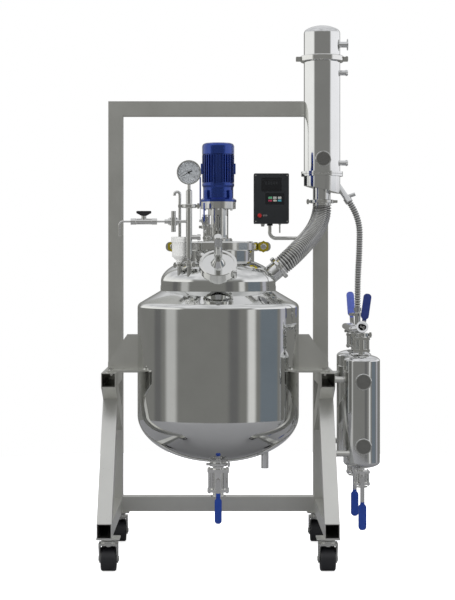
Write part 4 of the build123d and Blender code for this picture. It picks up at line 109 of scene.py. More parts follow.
class Graph:
    """A thin helper round a node tree."""

    def __init__(self, tree: bpy.types.NodeTree) -> None:
        """Keeps the tree.

        Args:
            tree: The node tree that nodes are added to.
        """
        self.tree = tree

    def add(self, kind: str, settings: Optional[dict[str, Any]] = None,
            **inputs: Input) -> bpy.types.Node:
        """Adds a node, sets its options and fills or links its inputs.

        Args:
            kind: The node's type name.
            settings: Options that are attributes of the node.
            **inputs: Input values or output sockets, by the input's name with _ for a space.

        Returns:
            The new node.
        """
        node = self.tree.nodes.new(kind)
        for key, value in (settings or {}).items():
            setattr(node, key, value)
        for key, value in inputs.items():
            self.feed(node, key.replace("_", " "), value)
        return node

    def feed(self, node: bpy.types.Node, name: str, value: Input) -> None:
        """Sets or links one input of a node.

        Args:
            node: The node that takes the value.
            name: The input's name, or its number as text after a hash.
            value: A number, a colour or an output socket.
        """
        socket = node.inputs[int(name[1:])] if name.startswith("#") else node.inputs[name]
        if isinstance(value, bpy.types.NodeSocket):
            self.tree.links.new(value, socket)
        else:
            socket.default_value = value

    def math(self, operation: str, first: Input, second: Input = 0.0,
             clamp: bool = False) -> bpy.types.NodeSocket:
        """Adds a Math node.

        Args:
            operation: The operation's name.
            first: The first value or socket.
            second: The second value or socket.
            clamp: Whether the result is kept between 0 and 1.

        Returns:
            The result's socket.
        """
        node = self.add("ShaderNodeMath", {"operation": operation, "use_clamp": clamp})
        self.feed(node, "#0", first)
        self.feed(node, "#1", second)
        return node.outputs[0]

    def mix(self, factor: Input, first: Input, second: Input) -> bpy.types.NodeSocket:
        """Mixes two colours.

        Args:
            factor: The share of the second colour.
            first: A colour or a socket.
            second: A colour or a socket.

        Returns:
            The mixed colour's socket.
        """
        node = self.add("ShaderNodeMix", {"data_type": "RGBA"})
        self.feed(node, "#0", factor)
        self.feed(node, "#6", four(first))
        self.feed(node, "#7", four(second))
        return node.outputs[2]

    def bump(self, height: Input) -> bpy.types.NodeSocket:
        """Adds a Bump node and gives its normal."""
        node = self.add("ShaderNodeBump", None, Strength=1.0, Distance=BUMP_METRES, Height=height)
        return node.outputs[0]


def four(colour: Input) -> Input:
    """Gives a colour its fourth number, or passes a socket through.

    Args:
        colour: Three numbers or a socket.

    Returns:
        Four numbers or the same socket.
    """
    if isinstance(colour, bpy.types.NodeSocket):
        return colour
    return (*colour, 1.0) if len(colour) == 3 else colour


class Effects:
    """Node groups that several materials share."""

    def __init__(self) -> None:
        """Makes the groups."""
        self.grain = self._grain()
        self.waves = self._waves()

    @staticmethod
    def _group(name: str, inputs: Sequence[tuple[str, float]], outputs: Sequence[str]
               ) -> tuple[bpy.types.NodeTree, Graph, bpy.types.Node, bpy.types.Node]:
        """Starts a group with its sockets.

        Args:
            name: The group's name.
            inputs: Names and first values of the number inputs.
            outputs: Names of the number outputs.

        Returns:
            The group, its graph, its input node and its output node.
        """
        tree = bpy.data.node_groups.new(name, "ShaderNodeTree")
        for title, value in inputs:
            socket = tree.interface.new_socket(name=title, in_out="INPUT", socket_type="NodeSocketFloat")
            socket.default_value = value
        for title in outputs:
            tree.interface.new_socket(name=title, in_out="OUTPUT", socket_type="NodeSocketFloat")
        graph = Graph(tree)
        return tree, graph, tree.nodes.new("NodeGroupInput"), tree.nodes.new("NodeGroupOutput")

    def _grain(self) -> bpy.types.NodeTree:
        """Fine polishing lines: noise drawn out along one axis, and slow blotches.

        Returns:
            The group, with a line output and a blotch output.
        """
        tree, graph, start, end = self._group(
            "polish_grain", [("Across", 900.0), ("Along", 12.0), ("Upright", 12.0)], ["Lines", "Blotches"])
        coords = graph.add("ShaderNodeTexCoord").outputs["Object"]
        split = graph.add("ShaderNodeSeparateXYZ", None, Vector=coords)
        stretched = graph.add("ShaderNodeCombineXYZ")
        for axis, title in enumerate(("Across", "Along", "Upright")):
            drawn = graph.math("MULTIPLY", split.outputs[axis], start.outputs[title])
            graph.feed(stretched, f"#{axis}", drawn)
        lines = graph.add("ShaderNodeTexNoise", None, Vector=stretched.outputs[0], Scale=1.0, Detail=3.0)
        blotches = graph.add("ShaderNodeTexNoise", None, Vector=coords, Scale=9.0, Detail=4.0, Roughness=0.6)
        graph.feed(end, "Lines", lines.outputs[0])
        graph.feed(end, "Blotches", blotches.outputs[0])
        return tree

    def _waves(self) -> bpy.types.NodeTree:
        """Slow unevenness of rolled and hand-polished sheet.

        Returns:
            The group, with one height output.
        """
        tree, graph, start, end = self._group("sheet_waves", [("Size", 5.0)], ["Height"])
        coords = graph.add("ShaderNodeTexCoord").outputs["Object"]
        slow = graph.add("ShaderNodeTexNoise", None, Vector=coords, Scale=start.outputs["Size"], Detail=1.5)
        graph.feed(end, "Height", slow.outputs[0])
        return tree


@dataclass(frozen=True)
class Metal:
    """What one metal finish looks like.

    Attributes:
        colour: Its reflection colour.
        rough: Its middle roughness.
        spread: How much the polishing lines vary the roughness.
        bump: How high the polishing lines stand.
        wave: How high the sheet's slow waves stand.
        wave_size: How fine the slow waves are.
        grain: Line frequencies along x, y and z.
    """

    colour: Colour
    rough: float
    spread: float = 0.06
    bump: float = 0.02
    wave: float = 0.0
    wave_size: float = 5.0
    grain: tuple[float, float, float] = (60.0, 60.0, 900.0)


@dataclass(frozen=True)
class Plastic:
    """What one moulded, painted or rubber surface looks like.

    Attributes:
        colour: Its colour.
        rough: Its roughness.
        grain: How high its fine texture stands.
        coat: How much clear lacquer lies on it.
        scale: How fine its texture is.
    """

    colour: Colour
    rough: float
    grain: float = 0.05
    coat: float = 0.0
    scale: float = 700.0


class Materials:
    """Makes and keeps the materials."""

    METAL_DARK = 0.86  # the share of a metal's colour left where its blotches are darkest
    PLASTIC_DARK = 0.82
    PLASTIC_PALE = 1.12
    PLASTIC_SPREAD = 0.12
    VINYL_DARK = 0.8
    VINYL_PALE = 1.2
    VINYL_RIBS = 1500.0
    VINYL_RIB_HEIGHT = 0.12
    VINYL_ROUGHER = 0.12
    LEVER_ROUGH = 0.2
    # Painted shade in the hose's valleys: how fast it deepens, how dark it gets and its colour
    VALLEY_SHADE_POWER = 1.6
    VALLEY_SHADE_SHARE = 0.93
    VALLEY_SHADE_COLOUR: Colour = (0.03, 0.03, 0.03)
    LACQUER = 0.6
    LACQUER_ROUGH = 0.08
    # Painted shade on the sight glass: opaque dark grey that stands for the tank's shaded inside behind it
    GLASS_PAINTED_SHADE_DARK: Colour = (0.070, 0.070, 0.066)
    GLASS_PAINTED_SHADE_PALE: Colour = (0.095, 0.095, 0.090)
    GLASS_CLEAR: Colour = (0.97, 0.98, 0.98)
    GLASS_ROUGH = 0.16
    GLASS_SMOOTHER = 0.14
    GLASS_IOR = 1.47

    def __init__(self) -> None:
        """Makes the shared effects."""
        self.effects = Effects()
        self.made: dict[str, bpy.types.Material] = {}

    def _start(self, name: str) -> tuple[bpy.types.Material, Graph, bpy.types.Node]:
        """Starts a material with a Principled shader.

        Args:
            name: The material's name.

        Returns:
            The material, its graph and its shader.
        """
        material = bpy.data.materials.new(name)
        material.use_nodes = True
        graph = Graph(material.node_tree)
        shader = material.node_tree.nodes[SHADER]
        self.made[name] = material
        return material, graph, shader

    def metal(self, name: str, look: Metal) -> bpy.types.Material:
        """Makes a polished or brushed metal.

        Args:
            name: The material's name.
            look: Its numbers.

        Returns:
            The material.
        """
        material, graph, shader = self._start(name)
        grain = graph.add("ShaderNodeGroup", {"node_tree": self.effects.grain},
                          Across=look.grain[0], Along=look.grain[1], Upright=look.grain[2])
        spread = graph.math("MULTIPLY", graph.math("SUBTRACT", grain.outputs["Lines"], 0.5), look.spread * 2)
        blot = graph.math("MULTIPLY", graph.math("SUBTRACT", grain.outputs["Blotches"], 0.5), look.spread)
        rough = graph.math("ADD", graph.math("ADD", spread, look.rough), blot, clamp=True)
        tone = graph.mix(grain.outputs["Blotches"], shade(look.colour, self.METAL_DARK), look.colour)
        height = graph.math("MULTIPLY", grain.outputs["Lines"], look.bump)
        if look.wave:
            waves = graph.add("ShaderNodeGroup", {"node_tree": self.effects.waves}, Size=look.wave_size)
            height = graph.math("ADD", height, graph.math("MULTIPLY", waves.outputs["Height"], look.wave))
        graph.feed(shader, "Base Color", tone)
        graph.feed(shader, "Roughness", rough)
        graph.feed(shader, "Normal", graph.bump(height))
        shader.inputs["Metallic"].default_value = 1.0
        return material

    def valley_shaded(self, name: str, look: Metal) -> bpy.types.Material:
        """Makes a metal with painted shade: darker where the mesh says a point lies deep in a hose's valley.

        Args:
            name: The material's name.
            look: Its numbers.

        Returns:
            The material.
        """
        material = self.metal(name, look)
        graph = Graph(material.node_tree)
        shader = material.node_tree.nodes[SHADER]
        plain = shader.inputs["Base Color"].links[0].from_socket
        depth = graph.add("ShaderNodeAttribute", {"attribute_name": VALLEY_SHADE_ATTRIBUTE}).outputs["Fac"]
        # painted shade, darker the deeper the point lies in the valley
        dark = graph.math("MULTIPLY", graph.math("POWER", depth, self.VALLEY_SHADE_POWER), self.VALLEY_SHADE_SHARE)
        graph.feed(shader, "Base Color", graph.mix(dark, plain, self.VALLEY_SHADE_COLOUR))
        return material

    def paint(self, name: str, look: Metal, share: float) -> bpy.types.Material:
        """Makes a gloss paint with metal flakes under clear lacquer.

        Args:
            name: The material's name.
            look: The flakes' numbers.
            share: How metallic it is.

        Returns:
            The material.
        """
        material = self.metal(name, look)
        shader = material.node_tree.nodes[SHADER]
        shader.inputs["Metallic"].default_value = share
        shader.inputs["Coat Weight"].default_value = self.LACQUER
        shader.inputs["Coat Roughness"].default_value = self.LACQUER_ROUGH
        return material

    def plastic(self, name: str, look: Plastic) -> bpy.types.Material:
        """Makes a moulded, painted or rubber surface.

        Args:
            name: The material's name.
            look: Its numbers.

        Returns:
            The material.
        """
        material, graph, shader = self._start(name)
        coords = graph.add("ShaderNodeTexCoord").outputs["Object"]
        fine = graph.add("ShaderNodeTexNoise", None, Vector=coords, Scale=look.scale, Detail=2.0)
        slow = graph.add("ShaderNodeTexNoise", None, Vector=coords, Scale=14.0, Detail=4.0)
        dark, pale = shade(look.colour, self.PLASTIC_DARK), shade(look.colour, self.PLASTIC_PALE)
        spread = graph.math("MULTIPLY", slow.outputs[0], self.PLASTIC_SPREAD)
        rough = graph.math("ADD", spread, look.rough - self.PLASTIC_SPREAD / 2, clamp=True)
        graph.feed(shader, "Base Color", graph.mix(slow.outputs[0], dark, pale))
        graph.feed(shader, "Roughness", rough)
        graph.feed(shader, "Normal", graph.bump(graph.math("MULTIPLY", fine.outputs[0], look.grain)))
        shader.inputs["Coat Weight"].default_value = look.coat
        return material

    def lever(self, name: str, pivot: Vector, start: float, sleeve: Colour,
              steel: Colour) -> bpy.types.Material:
        """Makes a steel lever whose end is dipped in vinyl.

        Args:
            name: The material's name.
            pivot: The lever's pivot, in metres.
            start: How far from the pivot the vinyl starts, in metres.
            sleeve: The vinyl's colour.
            steel: The steel's colour.

        Returns:
            The material.
        """
        material, graph, shader = self._start(name)
        coords = graph.add("ShaderNodeTexCoord").outputs["Object"]
        distance = graph.add("ShaderNodeVectorMath", {"operation": "DISTANCE"})
        graph.feed(distance, "#0", coords)
        graph.feed(distance, "#1", tuple(pivot))
        reach = distance.outputs["Value"]
        mask = graph.math("GREATER_THAN", reach, start)
        ribs = graph.math("SINE", graph.math("MULTIPLY", reach, self.VINYL_RIBS))
        slow = graph.add("ShaderNodeTexNoise", None, Vector=coords, Scale=60.0, Detail=3.0)
        vinyl = graph.mix(slow.outputs[0], shade(sleeve, self.VINYL_DARK), shade(sleeve, self.VINYL_PALE))
        rough = graph.math("ADD", graph.math("MULTIPLY", mask, self.VINYL_ROUGHER), self.LEVER_ROUGH)
        height = graph.math("MULTIPLY", graph.math("MULTIPLY", ribs, mask), self.VINYL_RIB_HEIGHT)
        graph.feed(shader, "Base Color", graph.mix(mask, steel, vinyl))
        graph.feed(shader, "Metallic", graph.math("SUBTRACT", 1.0, mask))
        graph.feed(shader, "Roughness", rough)
        graph.feed(shader, "Normal", graph.bump(height))
        return material

    def glass(self, name: str, clear_above: float) -> bpy.types.Material:
        """Makes sight glass painted an opaque dark grey, as painted shade for the tank's shaded inside behind
        it, and clear on the dial.

        Args:
            name: The material's name.
            clear_above: The height in metres above which glass left of the middle is clear.

        Returns:
            The material.
        """
        material, graph, shader = self._start(name)
        coords = graph.add("ShaderNodeTexCoord").outputs["Object"]
        split = graph.add("ShaderNodeSeparateXYZ", None, Vector=coords)
        high = graph.math("GREATER_THAN", split.outputs[2], clear_above)
        clear = graph.math("MULTIPLY", high, graph.math("LESS_THAN", split.outputs[0], 0.0))
        smear = graph.add("ShaderNodeTexNoise", None, Vector=coords, Scale=40.0, Detail=3.0)
        # painted shade: the tank's shaded inside behind the glass, as an opaque dark grey with smears
        painted_inside_shade = graph.mix(smear.outputs[0], self.GLASS_PAINTED_SHADE_DARK, self.GLASS_PAINTED_SHADE_PALE)
        smoother = graph.math("MULTIPLY", clear, self.GLASS_SMOOTHER)
        graph.feed(shader, "Base Color", graph.mix(clear, painted_inside_shade, self.GLASS_CLEAR))
        graph.feed(shader, "Roughness", graph.math("SUBTRACT", self.GLASS_ROUGH, smoother))
        graph.feed(shader, "Transmission Weight", clear)
        shader.inputs["IOR"].default_value = self.GLASS_IOR
        return material


class Library(Materials):
    """The materials of this reactor."""

    METALS = {
        "mirror_steel": Metal((0.78, 0.785, 0.77), 0.06, 0.03, 0.004, 0.35, 4.0, (40.0, 40.0, 1400.0)),
        "tank_steel": Metal((0.80, 0.805, 0.80), 0.07, 0.04, 0.004, 0.12, 7.0, (40.0, 40.0, 1400.0)),
        "frame_steel": Metal((0.77, 0.77, 0.73), 0.33, 0.10, 0.03, grain=(700.0, 90.0, 90.0)),
        "satin_steel": Metal((0.80, 0.80, 0.78), 0.11, 0.06, 0.01, grain=(300.0, 300.0, 300.0)),
        "bright_brass": Metal((0.86, 0.70, 0.06), 0.20, 0.05, 0.02, grain=(300.0, 300.0, 300.0)),
        "fork_steel": Metal((0.62, 0.62, 0.59), 0.27, 0.06, 0.02, grain=(300.0, 300.0, 300.0)),
    }
    HOSE = Metal((0.78, 0.78, 0.76), 0.16, 0.06, 0.01, grain=(200.0, 200.0, 200.0))
    PAINT = Metal((0.022, 0.062, 0.33), 0.20, 0.05, 0.01, grain=(250.0, 250.0, 250.0))
    PAINT_METALLIC = 0.85
    PLASTICS = {
        "box_black": Plastic((0.020, 0.023, 0.026), 0.42, 0.10),
        "panel_dark": Plastic((0.008, 0.009, 0.011), 0.22, 0.01),
        "handle_black": Plastic((0.012, 0.012, 0.014), 0.35),
        "cup_white": Plastic((0.82, 0.82, 0.80), 0.38, 0.03),
        "seal_white": Plastic((0.75, 0.75, 0.72), 0.5, 0.03),
        "wheel_black": Plastic((0.010, 0.010, 0.012), 0.40, 0.12, scale=300.0),
        "dial_white": Plastic((0.84, 0.86, 0.90), 0.45, 0.01),
        "ink_black": Plastic((0.01, 0.01, 0.012), 0.5, 0.01),
        "button_red": Plastic((0.55, 0.015, 0.015), 0.3, 0.02, coat=0.4),
        "key_green": Plastic((0.15, 0.50, 0.26), 0.4, 0.02),
        "key_grey": Plastic((0.55, 0.55, 0.52), 0.4, 0.02),
        "key_beige": Plastic((0.60, 0.58, 0.50), 0.4, 0.02),
        "key_pink": Plastic((0.55, 0.05, 0.12), 0.4, 0.02),
        "key_teal": Plastic((0.08, 0.42, 0.52), 0.4, 0.02),
        "dim_digits": Plastic((0.05, 0.055, 0.06), 0.4, 0.02),
    }
    SLEEVE: Colour = (0.005, 0.038, 0.26)
    # The same blue vinyl as SLEEVE, painted darker on the front top lever as painted shade and paler on the
    # rear top lever as a painted reflection
    SLEEVE_PAINTED_SHADE: Colour = (0.014, 0.028, 0.15)
    SLEEVE_PAINTED_REFLECTION: Colour = (0.12, 0.17, 0.58)
    STEEL: Colour = (0.70, 0.70, 0.69)
    CLEAR_ABOVE = 1.5

    def __init__(self) -> None:
        """Makes every material but the levers' own."""
        super().__init__()
        for name, look in self.METALS.items():
            self.metal(name, look)
        for name, look in self.PLASTICS.items():
            self.plastic(name, look)
        # the hose's steel, with painted shade in its valleys
        self.valley_shaded("hose_steel_valley_shade", self.HOSE)
        self.paint("motor_paint", self.PAINT, self.PAINT_METALLIC)
        self.glass("clear_glass", self.CLEAR_ABOVE)


class Shapes:
    """Builds mesh pieces from bmesh operators."""

    @staticmethod
    def finish(name: str, mesh: bmesh.types.BMesh, material: bpy.types.Material, body: str, slot: Slot,
               smooth: bool = True, crease: float = 35.0) -> bpy.types.Object:
        """Turns a bmesh into a piece that rides on a body.

        Args:
            name: The piece's name.
            mesh: Its bmesh, in metres.
            material: Its material.
            body: The body that it rides on.
            slot: The record's material slot; not used.
            smooth: Whether its faces are shaded smooth.
            crease: The angle in degrees past which an edge stays sharp.

        Returns:
            The new object.
        """
        data = bpy.data.meshes.new(name)
        bmesh.ops.recalc_face_normals(mesh, faces=mesh.faces)
        mesh.to_mesh(data)
        mesh.free()
        for face in data.polygons:
            face.use_smooth = smooth
        if smooth:
            data.set_sharp_from_angle(angle=math.radians(crease))
        piece = bpy.data.objects.new(name, data)
        bpy.context.scene.collection.objects.link(piece)
        data.materials.append(material)
        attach(piece, body)
        LOG.info("%s rides on %s", name, body)
        return piece

    @staticmethod
    def ring(mesh: bmesh.types.BMesh, centre: Vector, axis: Vector, side: Vector, radius: float,
             count: int) -> list[bmesh.types.BMVert]:
        """Adds one ring of points.

        Args:
            mesh: The bmesh that takes the points.
            centre: The ring's centre.
            axis: The ring's axis.
            side: A direction across the axis where the ring starts.
            radius: The ring's radius.
            count: How many points it has.

        Returns:
            The ring's points.
        """
        other = axis.cross(side).normalized()
        turns = (2 * math.pi * n / count for n in range(count))
        return [mesh.verts.new(centre + (side * math.cos(t) + other * math.sin(t)) * radius) for t in turns]

    @staticmethod
    def bridge(mesh: bmesh.types.BMesh, first: Sequence[bmesh.types.BMVert],
               second: Sequence[bmesh.types.BMVert]) -> None:
        """Joins two rings with faces.

        Args:
            mesh: The bmesh that takes the faces.
            first: The first ring.
            second: The second ring.
        """
        count = len(first)
        for n in range(count):
            mesh.faces.new((first[n], first[(n + 1) % count], second[(n + 1) % count], second[n]))

    @classmethod
    def lathe(cls, profile: Outline, origin: Vector, axis: Vector, count: int = 48,
              mesh: Optional[bmesh.types.BMesh] = None, hollow: bool = False) -> bmesh.types.BMesh:
        """Turns a profile of radius and height round an axis.

        Args:
            profile: Radius and height of each corner, in metres.
            origin: Where the heights start.
            axis: The axis that the heights follow.
            count: How many sides a full turn has.
            mesh: A bmesh to add to, or none for a new one.
            hollow: Whether the last corner joins the first instead of both ends being closed.

        Returns:
            The bmesh.
        """
        mesh = mesh or bmesh.new()
        axis = axis.normalized()
        side = axis.orthogonal().normalized()
        rings = [cls.ring(mesh, origin + axis * height, axis, side, max(radius, POLE_RADIUS), count)
                 for radius, height in profile]
        for first, second in zip(rings, rings[1:]):
            cls.bridge(mesh, first, second)
        if hollow:
            cls.bridge(mesh, rings[-1], rings[0])
        else:
            mesh.faces.new(rings[0])
            mesh.faces.new(rings[-1])
        return mesh

    @staticmethod
    def arc(centre: tuple[float, float], wide: float, high: float, start: float, end: float,
            steps: int) -> list[tuple[float, float]]:
        """Gives the corners of an elliptical arc in a profile.

        Args:
            centre: Radius and height of the arc's centre.
            wide: Its half width.
            high: Its half height.
            start: Its first angle in degrees, from the outward direction upwards.
            end: Its last angle in degrees.
            steps: How many runs it is divided into.

        Returns:
            Radius and height of each corner.
        """
        turns = (math.radians(start + (end - start) * n / steps) for n in range(steps + 1))
        return [(centre[0] + wide * math.cos(t), centre[1] + high * math.sin(t)) for t in turns]

    @staticmethod
    def block(mesh: bmesh.types.BMesh, centre: Vector, size: Vector, soft: float = 0.0,
              turn: float = 0.0) -> None:
        """Adds a box with bevelled edges.

        Args:
            mesh: The bmesh that takes the box.
            centre: The box's centre.
            size: Its size along x, y and z.
            soft: The bevel's width.
            turn: A turn about the y axis, in radians.
        """
        matrix = Matrix.Translation(centre) @ Matrix.Rotation(turn, 4, "Y") @ Matrix.Diagonal((*size, 1.0))
        made = bmesh.ops.create_cube(mesh, size=1.0, matrix=matrix)
        if soft:
            edges = {edge for vert in made["verts"] for edge in vert.link_edges}
            bmesh.ops.bevel(mesh, geom=list(edges), offset=soft, segments=3, affect="EDGES", profile=0.5)

    @staticmethod
    def letter(name: str, words: str, spot: Vector, size: float, material: bpy.types.Material,
               slot: Slot) -> None:
        """Writes plain figures that face the front and ride on the stand.

        Args:
            name: The piece's name.
            words: The figures.
            spot: Their middle, in metres.
            size: Their height, in metres.
            material: Their material.
            slot: The record's material slot; not used.
        """
        text = bpy.data.curves.new(name, "FONT")
        text.body = words
        text.size = size
        text.align_x = "CENTER"
        text.align_y = "CENTER"
        text.extrude = 0.08 * MM
        piece = bpy.data.objects.new(name, text)
        bpy.context.scene.collection.objects.link(piece)
        piece.matrix_world = Matrix.Translation(spot) @ Matrix.Rotation(math.pi / 2, 4, "X")
        bpy.context.view_layer.update()
        mesh = bpy.data.meshes.new_from_object(piece)
        mesh.transform(piece.matrix_world)
        bpy.data.objects.remove(piece)
        flat = bpy.data.objects.new(name, mesh)
        bpy.context.scene.collection.objects.link(flat)
        mesh.materials.clear()
        mesh.materials.append(material)
        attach(flat, "stand")
        LOG.info("%s rides on stand", name)


@dataclass(frozen=True)
class Corrugation:
    """A corrugated metal hose. Lengths are in millimetres.

    Attributes:
        name: The piece's name.
        radius: The ridges' outer radius.
        pitch: The distance from ridge to ridge.
        depth: How deep the valleys are.
        sides: How many sides the hose has.
        steps: How many stations there are from ridge to ridge.
        fullness: The power that makes the ridges rounder than the valleys.
    """

    name: str
    radius: float
    pitch: float
    depth: float
    sides: int
    steps: int = 8
    fullness: float = 1.4

    @staticmethod
    def centreline(points: Sequence[Vector]) -> list[Vector]:
        """Reads the smooth line that a route's points control.

        Args:
            points: The route's points, in metres.

        Returns:
            Closely spaced points on the line.
        """
        curve = bpy.data.curves.new("route", "CURVE")
        curve.dimensions = "3D"
        curve.resolution_u = 48
        spline = curve.splines.new("NURBS")
        spline.points.add(len(points) - 1)
        for held, point in zip(spline.points, points):
            held.co = (*point, 1.0)
        spline.order_u = 3
        spline.use_endpoint_u = True
        holder = bpy.data.objects.new("route", curve)
        mesh = bpy.data.meshes.new_from_object(holder)
        line = [vert.co.copy() for vert in mesh.vertices]
        bpy.data.objects.remove(holder)
        bpy.data.meshes.remove(mesh)
        return line

    @staticmethod
    def stations(line: Sequence[Vector], step: float) -> list[Vector]:
        """Spaces points evenly along a line.

        Args:
            line: The line's points.
            step: The distance wanted between stations.

        Returns:
            The stations, ends included.
        """
        lengths = [0.0]
        for a, b in zip(line, line[1:]):
            lengths.append(lengths[-1] + (b - a).length)
        count = max(2, round(lengths[-1] / step))
        found, seat = [], 0
        for n in range(count + 1):
            want = lengths[-1] * n / count
            while seat < len(line) - 2 and lengths[seat + 1] < want:
                seat += 1
            span = lengths[seat + 1] - lengths[seat] or 1.0
            found.append(line[seat].lerp(line[seat + 1], (want - lengths[seat]) / span))
        return found

    def build(self, route: Sequence[Vector], library: Library) -> tuple[bpy.types.Object, list[Vector]]:
        """Makes the hose along a route.

        Args:
            route: The route's points, in metres.
            library: The reactor's materials.

        Returns:
            The hose and its line.
        """
        line = self.stations(self.centreline(route), self.pitch * MM / self.steps)
        mesh = bmesh.new()
        groove = mesh.verts.layers.float.new(VALLEY_SHADE_ATTRIBUTE)
        axis = (line[1] - line[0]).normalized()
        side = axis.orthogonal().normalized()
        rings = []
        for n, point in enumerate(line):
            ahead = line[min(n + 1, len(line) - 1)] - line[max(n - 1, 0)]
            turn = axis.rotation_difference(ahead.normalized())
            side = (turn @ side).normalized()
            axis = ahead.normalized()
            swell = 0.5 + 0.5 * math.cos(2 * math.pi * n / self.steps)
            ridge = self.radius - self.depth * (1.0 - swell ** self.fullness)
            rings.append(Shapes.ring(mesh, point, axis, side, ridge * MM, self.sides))
            # how deep in the valley each point lies, for the painted shade in the hose's material
            for vertex in rings[-1]:
                vertex[groove] = 1.0 - swell
        for first, second in zip(rings, rings[1:]):
            Shapes.bridge(mesh, first, second)
        mesh.faces.new(rings[0])
        mesh.faces.new(rings[-1])
        steel = library.made["hose_steel_valley_shade"]
        hose = Shapes.finish(self.name, mesh, steel, "stand", Slot.CORRUGATED, crease=180.0)
        return hose, line


@dataclass(frozen=True)
class VapourHose:
    """The thick hose from the lid to the condenser, with a cuff at each end, in millimetres.

    Attributes:
        start: Where its stub leaves the lid.
        aim: The way the stub points.
        top: Its upper end.
        stub: The stub's length.
        cuff_grip: How far each cuff covers the ridges.
        rise: How far it stays straight at the lid.
        drop: How far it stays straight under the condenser.
        cuff: Radius and height of a cuff's corners.
        tube: Its ridges.
    """

    start: Point = (226.0, 12.0, 1196.0)
    aim: Point = (0.77, 0.05, 0.64)
    top: Point = (455.0, 224.0, 1511.15)
    stub: float = 42.85
    cuff_grip: float = 14.0
    rise: float = 85.0
    drop: float = 95.0
    cuff: Outline = ((36.5, 0.0), (45.5, 0.0), (45.5, 3.2), (38.1, 3.4), (38.1, 12.5), (40.0, 13.0),
                     (40.0, 18.0), (36.5, 18.0))
    tube: Corrugation = Corrugation("vapour_corrugation", 42.0, 10.6, 6.5, 48)

    def build(self, library: Library) -> None:
        """Makes the hose.

        Args:
            library: The reactor's materials.
        """
        aim, top = Vector(self.aim).normalized(), Vector(self.top)
        foot = Vector(self.start) + aim * self.stub
        route = (foot + aim * self.cuff_grip, foot + aim * self.rise, top - UP * self.drop,
                 top - UP * self.cuff_grip)
        hose, _ = self.tube.build([place(*point) for point in route], library)
        mesh = bmesh.new()
        mesh.from_mesh(hose.data)
        for origin, axis in ((foot, aim), (top, -UP)):
            Shapes.lathe(metres(self.cuff), place(*origin), axis, self.tube.sides, mesh)
        mesh.to_mesh(hose.data)
        mesh.free()
        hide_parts("vapour_hose")


@dataclass(frozen=True)
class DrainHose:
    """The thin hose from the condenser to the receivers, in millimetres.

    Attributes:
        start: Where it leaves the condenser's foot.
        aim: The way it leaves.
        end: Where it enters the receivers' riser.
        reach: How far it keeps the way it leaves.
        sway: How far its line swings out above the riser.
        drop: How far it hangs straight at the riser.
        tube: Its ridges.
    """

    start: Point = (573.0, 200.0, 1508.0)
    aim: Point = (0.5, -0.35, -0.79)
    end: Point = (599.0, 93.0, 1050.9)
    reach: float = 85.0
    sway: Point = (12.0, 40.0, 245.0)
    drop: float = 120.0
    tube: Corrugation = Corrugation("drain_corrugation", 14.4, 10.5, 4.2, 32)

    def build(self, library: Library) -> None:
        """Args:
            library: The reactor's materials.
        """
        start, end = Vector(self.start), Vector(self.end)
        bend = start + Vector(self.aim).normalized() * self.reach
        route = (start, bend, end + Vector(self.sway), end + UP * self.drop, end)
        thin, line = self.tube.build([place(*point) for point in route], library)
        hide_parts("drain_hose")


@dataclass(frozen=True)
class Cladding:
    """The vessel's mirror-polished cladding as one smooth turned shell, in millimetres.

    Attributes:
        radius: Its outer radius.
        rise: The depth of its dished bottom.
        wall: How thick it is.
        tangent: The height where the bottom meets the wall.
        hole: The radius of the outlet's hole.
        knuckle: The shoulder's bend.
        slope: The shoulder's slope in degrees.
        top_radius: The rim's radius.
        top: The rim's height.
        sides: How many sides a full turn has.
    """

    radius: float = 341.5
    rise: float = 200.0
    wall: float = 2.0
    tangent: float = 603.0
    hole: float = 23.2
    knuckle: float = 25.0
    slope: float = 30.3
    top_radius: float = 244.0
    top: float = 1125.95
    sides: int = 144

    def profile(self, inset: float) -> list[tuple[float, float]]:
        """Gives the wall's line at a depth under its outer face.

        Args:
            inset: The depth in millimetres.

        Returns:
            Radius and height of each corner, from the outlet's hole to the rim, in metres.
        """
        slope = math.radians(self.slope)
        middle = self.radius - self.knuckle
        reach = middle + self.knuckle * math.sin(slope) - self.top_radius
        shoulder = self.top - reach * math.tan(slope) - self.knuckle * math.cos(slope)
        radius, bend = self.radius - inset, self.knuckle - inset
        start = -math.degrees(math.acos(self.hole / radius))
        line = Shapes.arc((0.0, self.tangent), radius, self.rise - inset, start, 0.0, 44)
        line += [(radius, self.tangent + (shoulder - self.tangent) * n / 6) for n in range(1, 6)]
        line += Shapes.arc((middle, shoulder), bend, bend, 0.0, 90.0 - self.slope, 12)
        line.append((self.top_radius - inset * math.sin(slope), self.top - inset * math.cos(slope)))
        return metres(line)

    def build(self, library: Library) -> None:
        """Makes the shell.

        Args:
            library: The reactor's materials.
        """
        line = self.profile(0.0) + self.profile(self.wall)[::-1]
        mesh = Shapes.lathe(line, place(0.0, 0.0, 0.0), UP, self.sides, hollow=True)
        shell = Shapes.finish("cladding_shell", mesh, library.made["mirror_steel"], "stand", Slot.POLISHED)
        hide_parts("jacket_cladding")


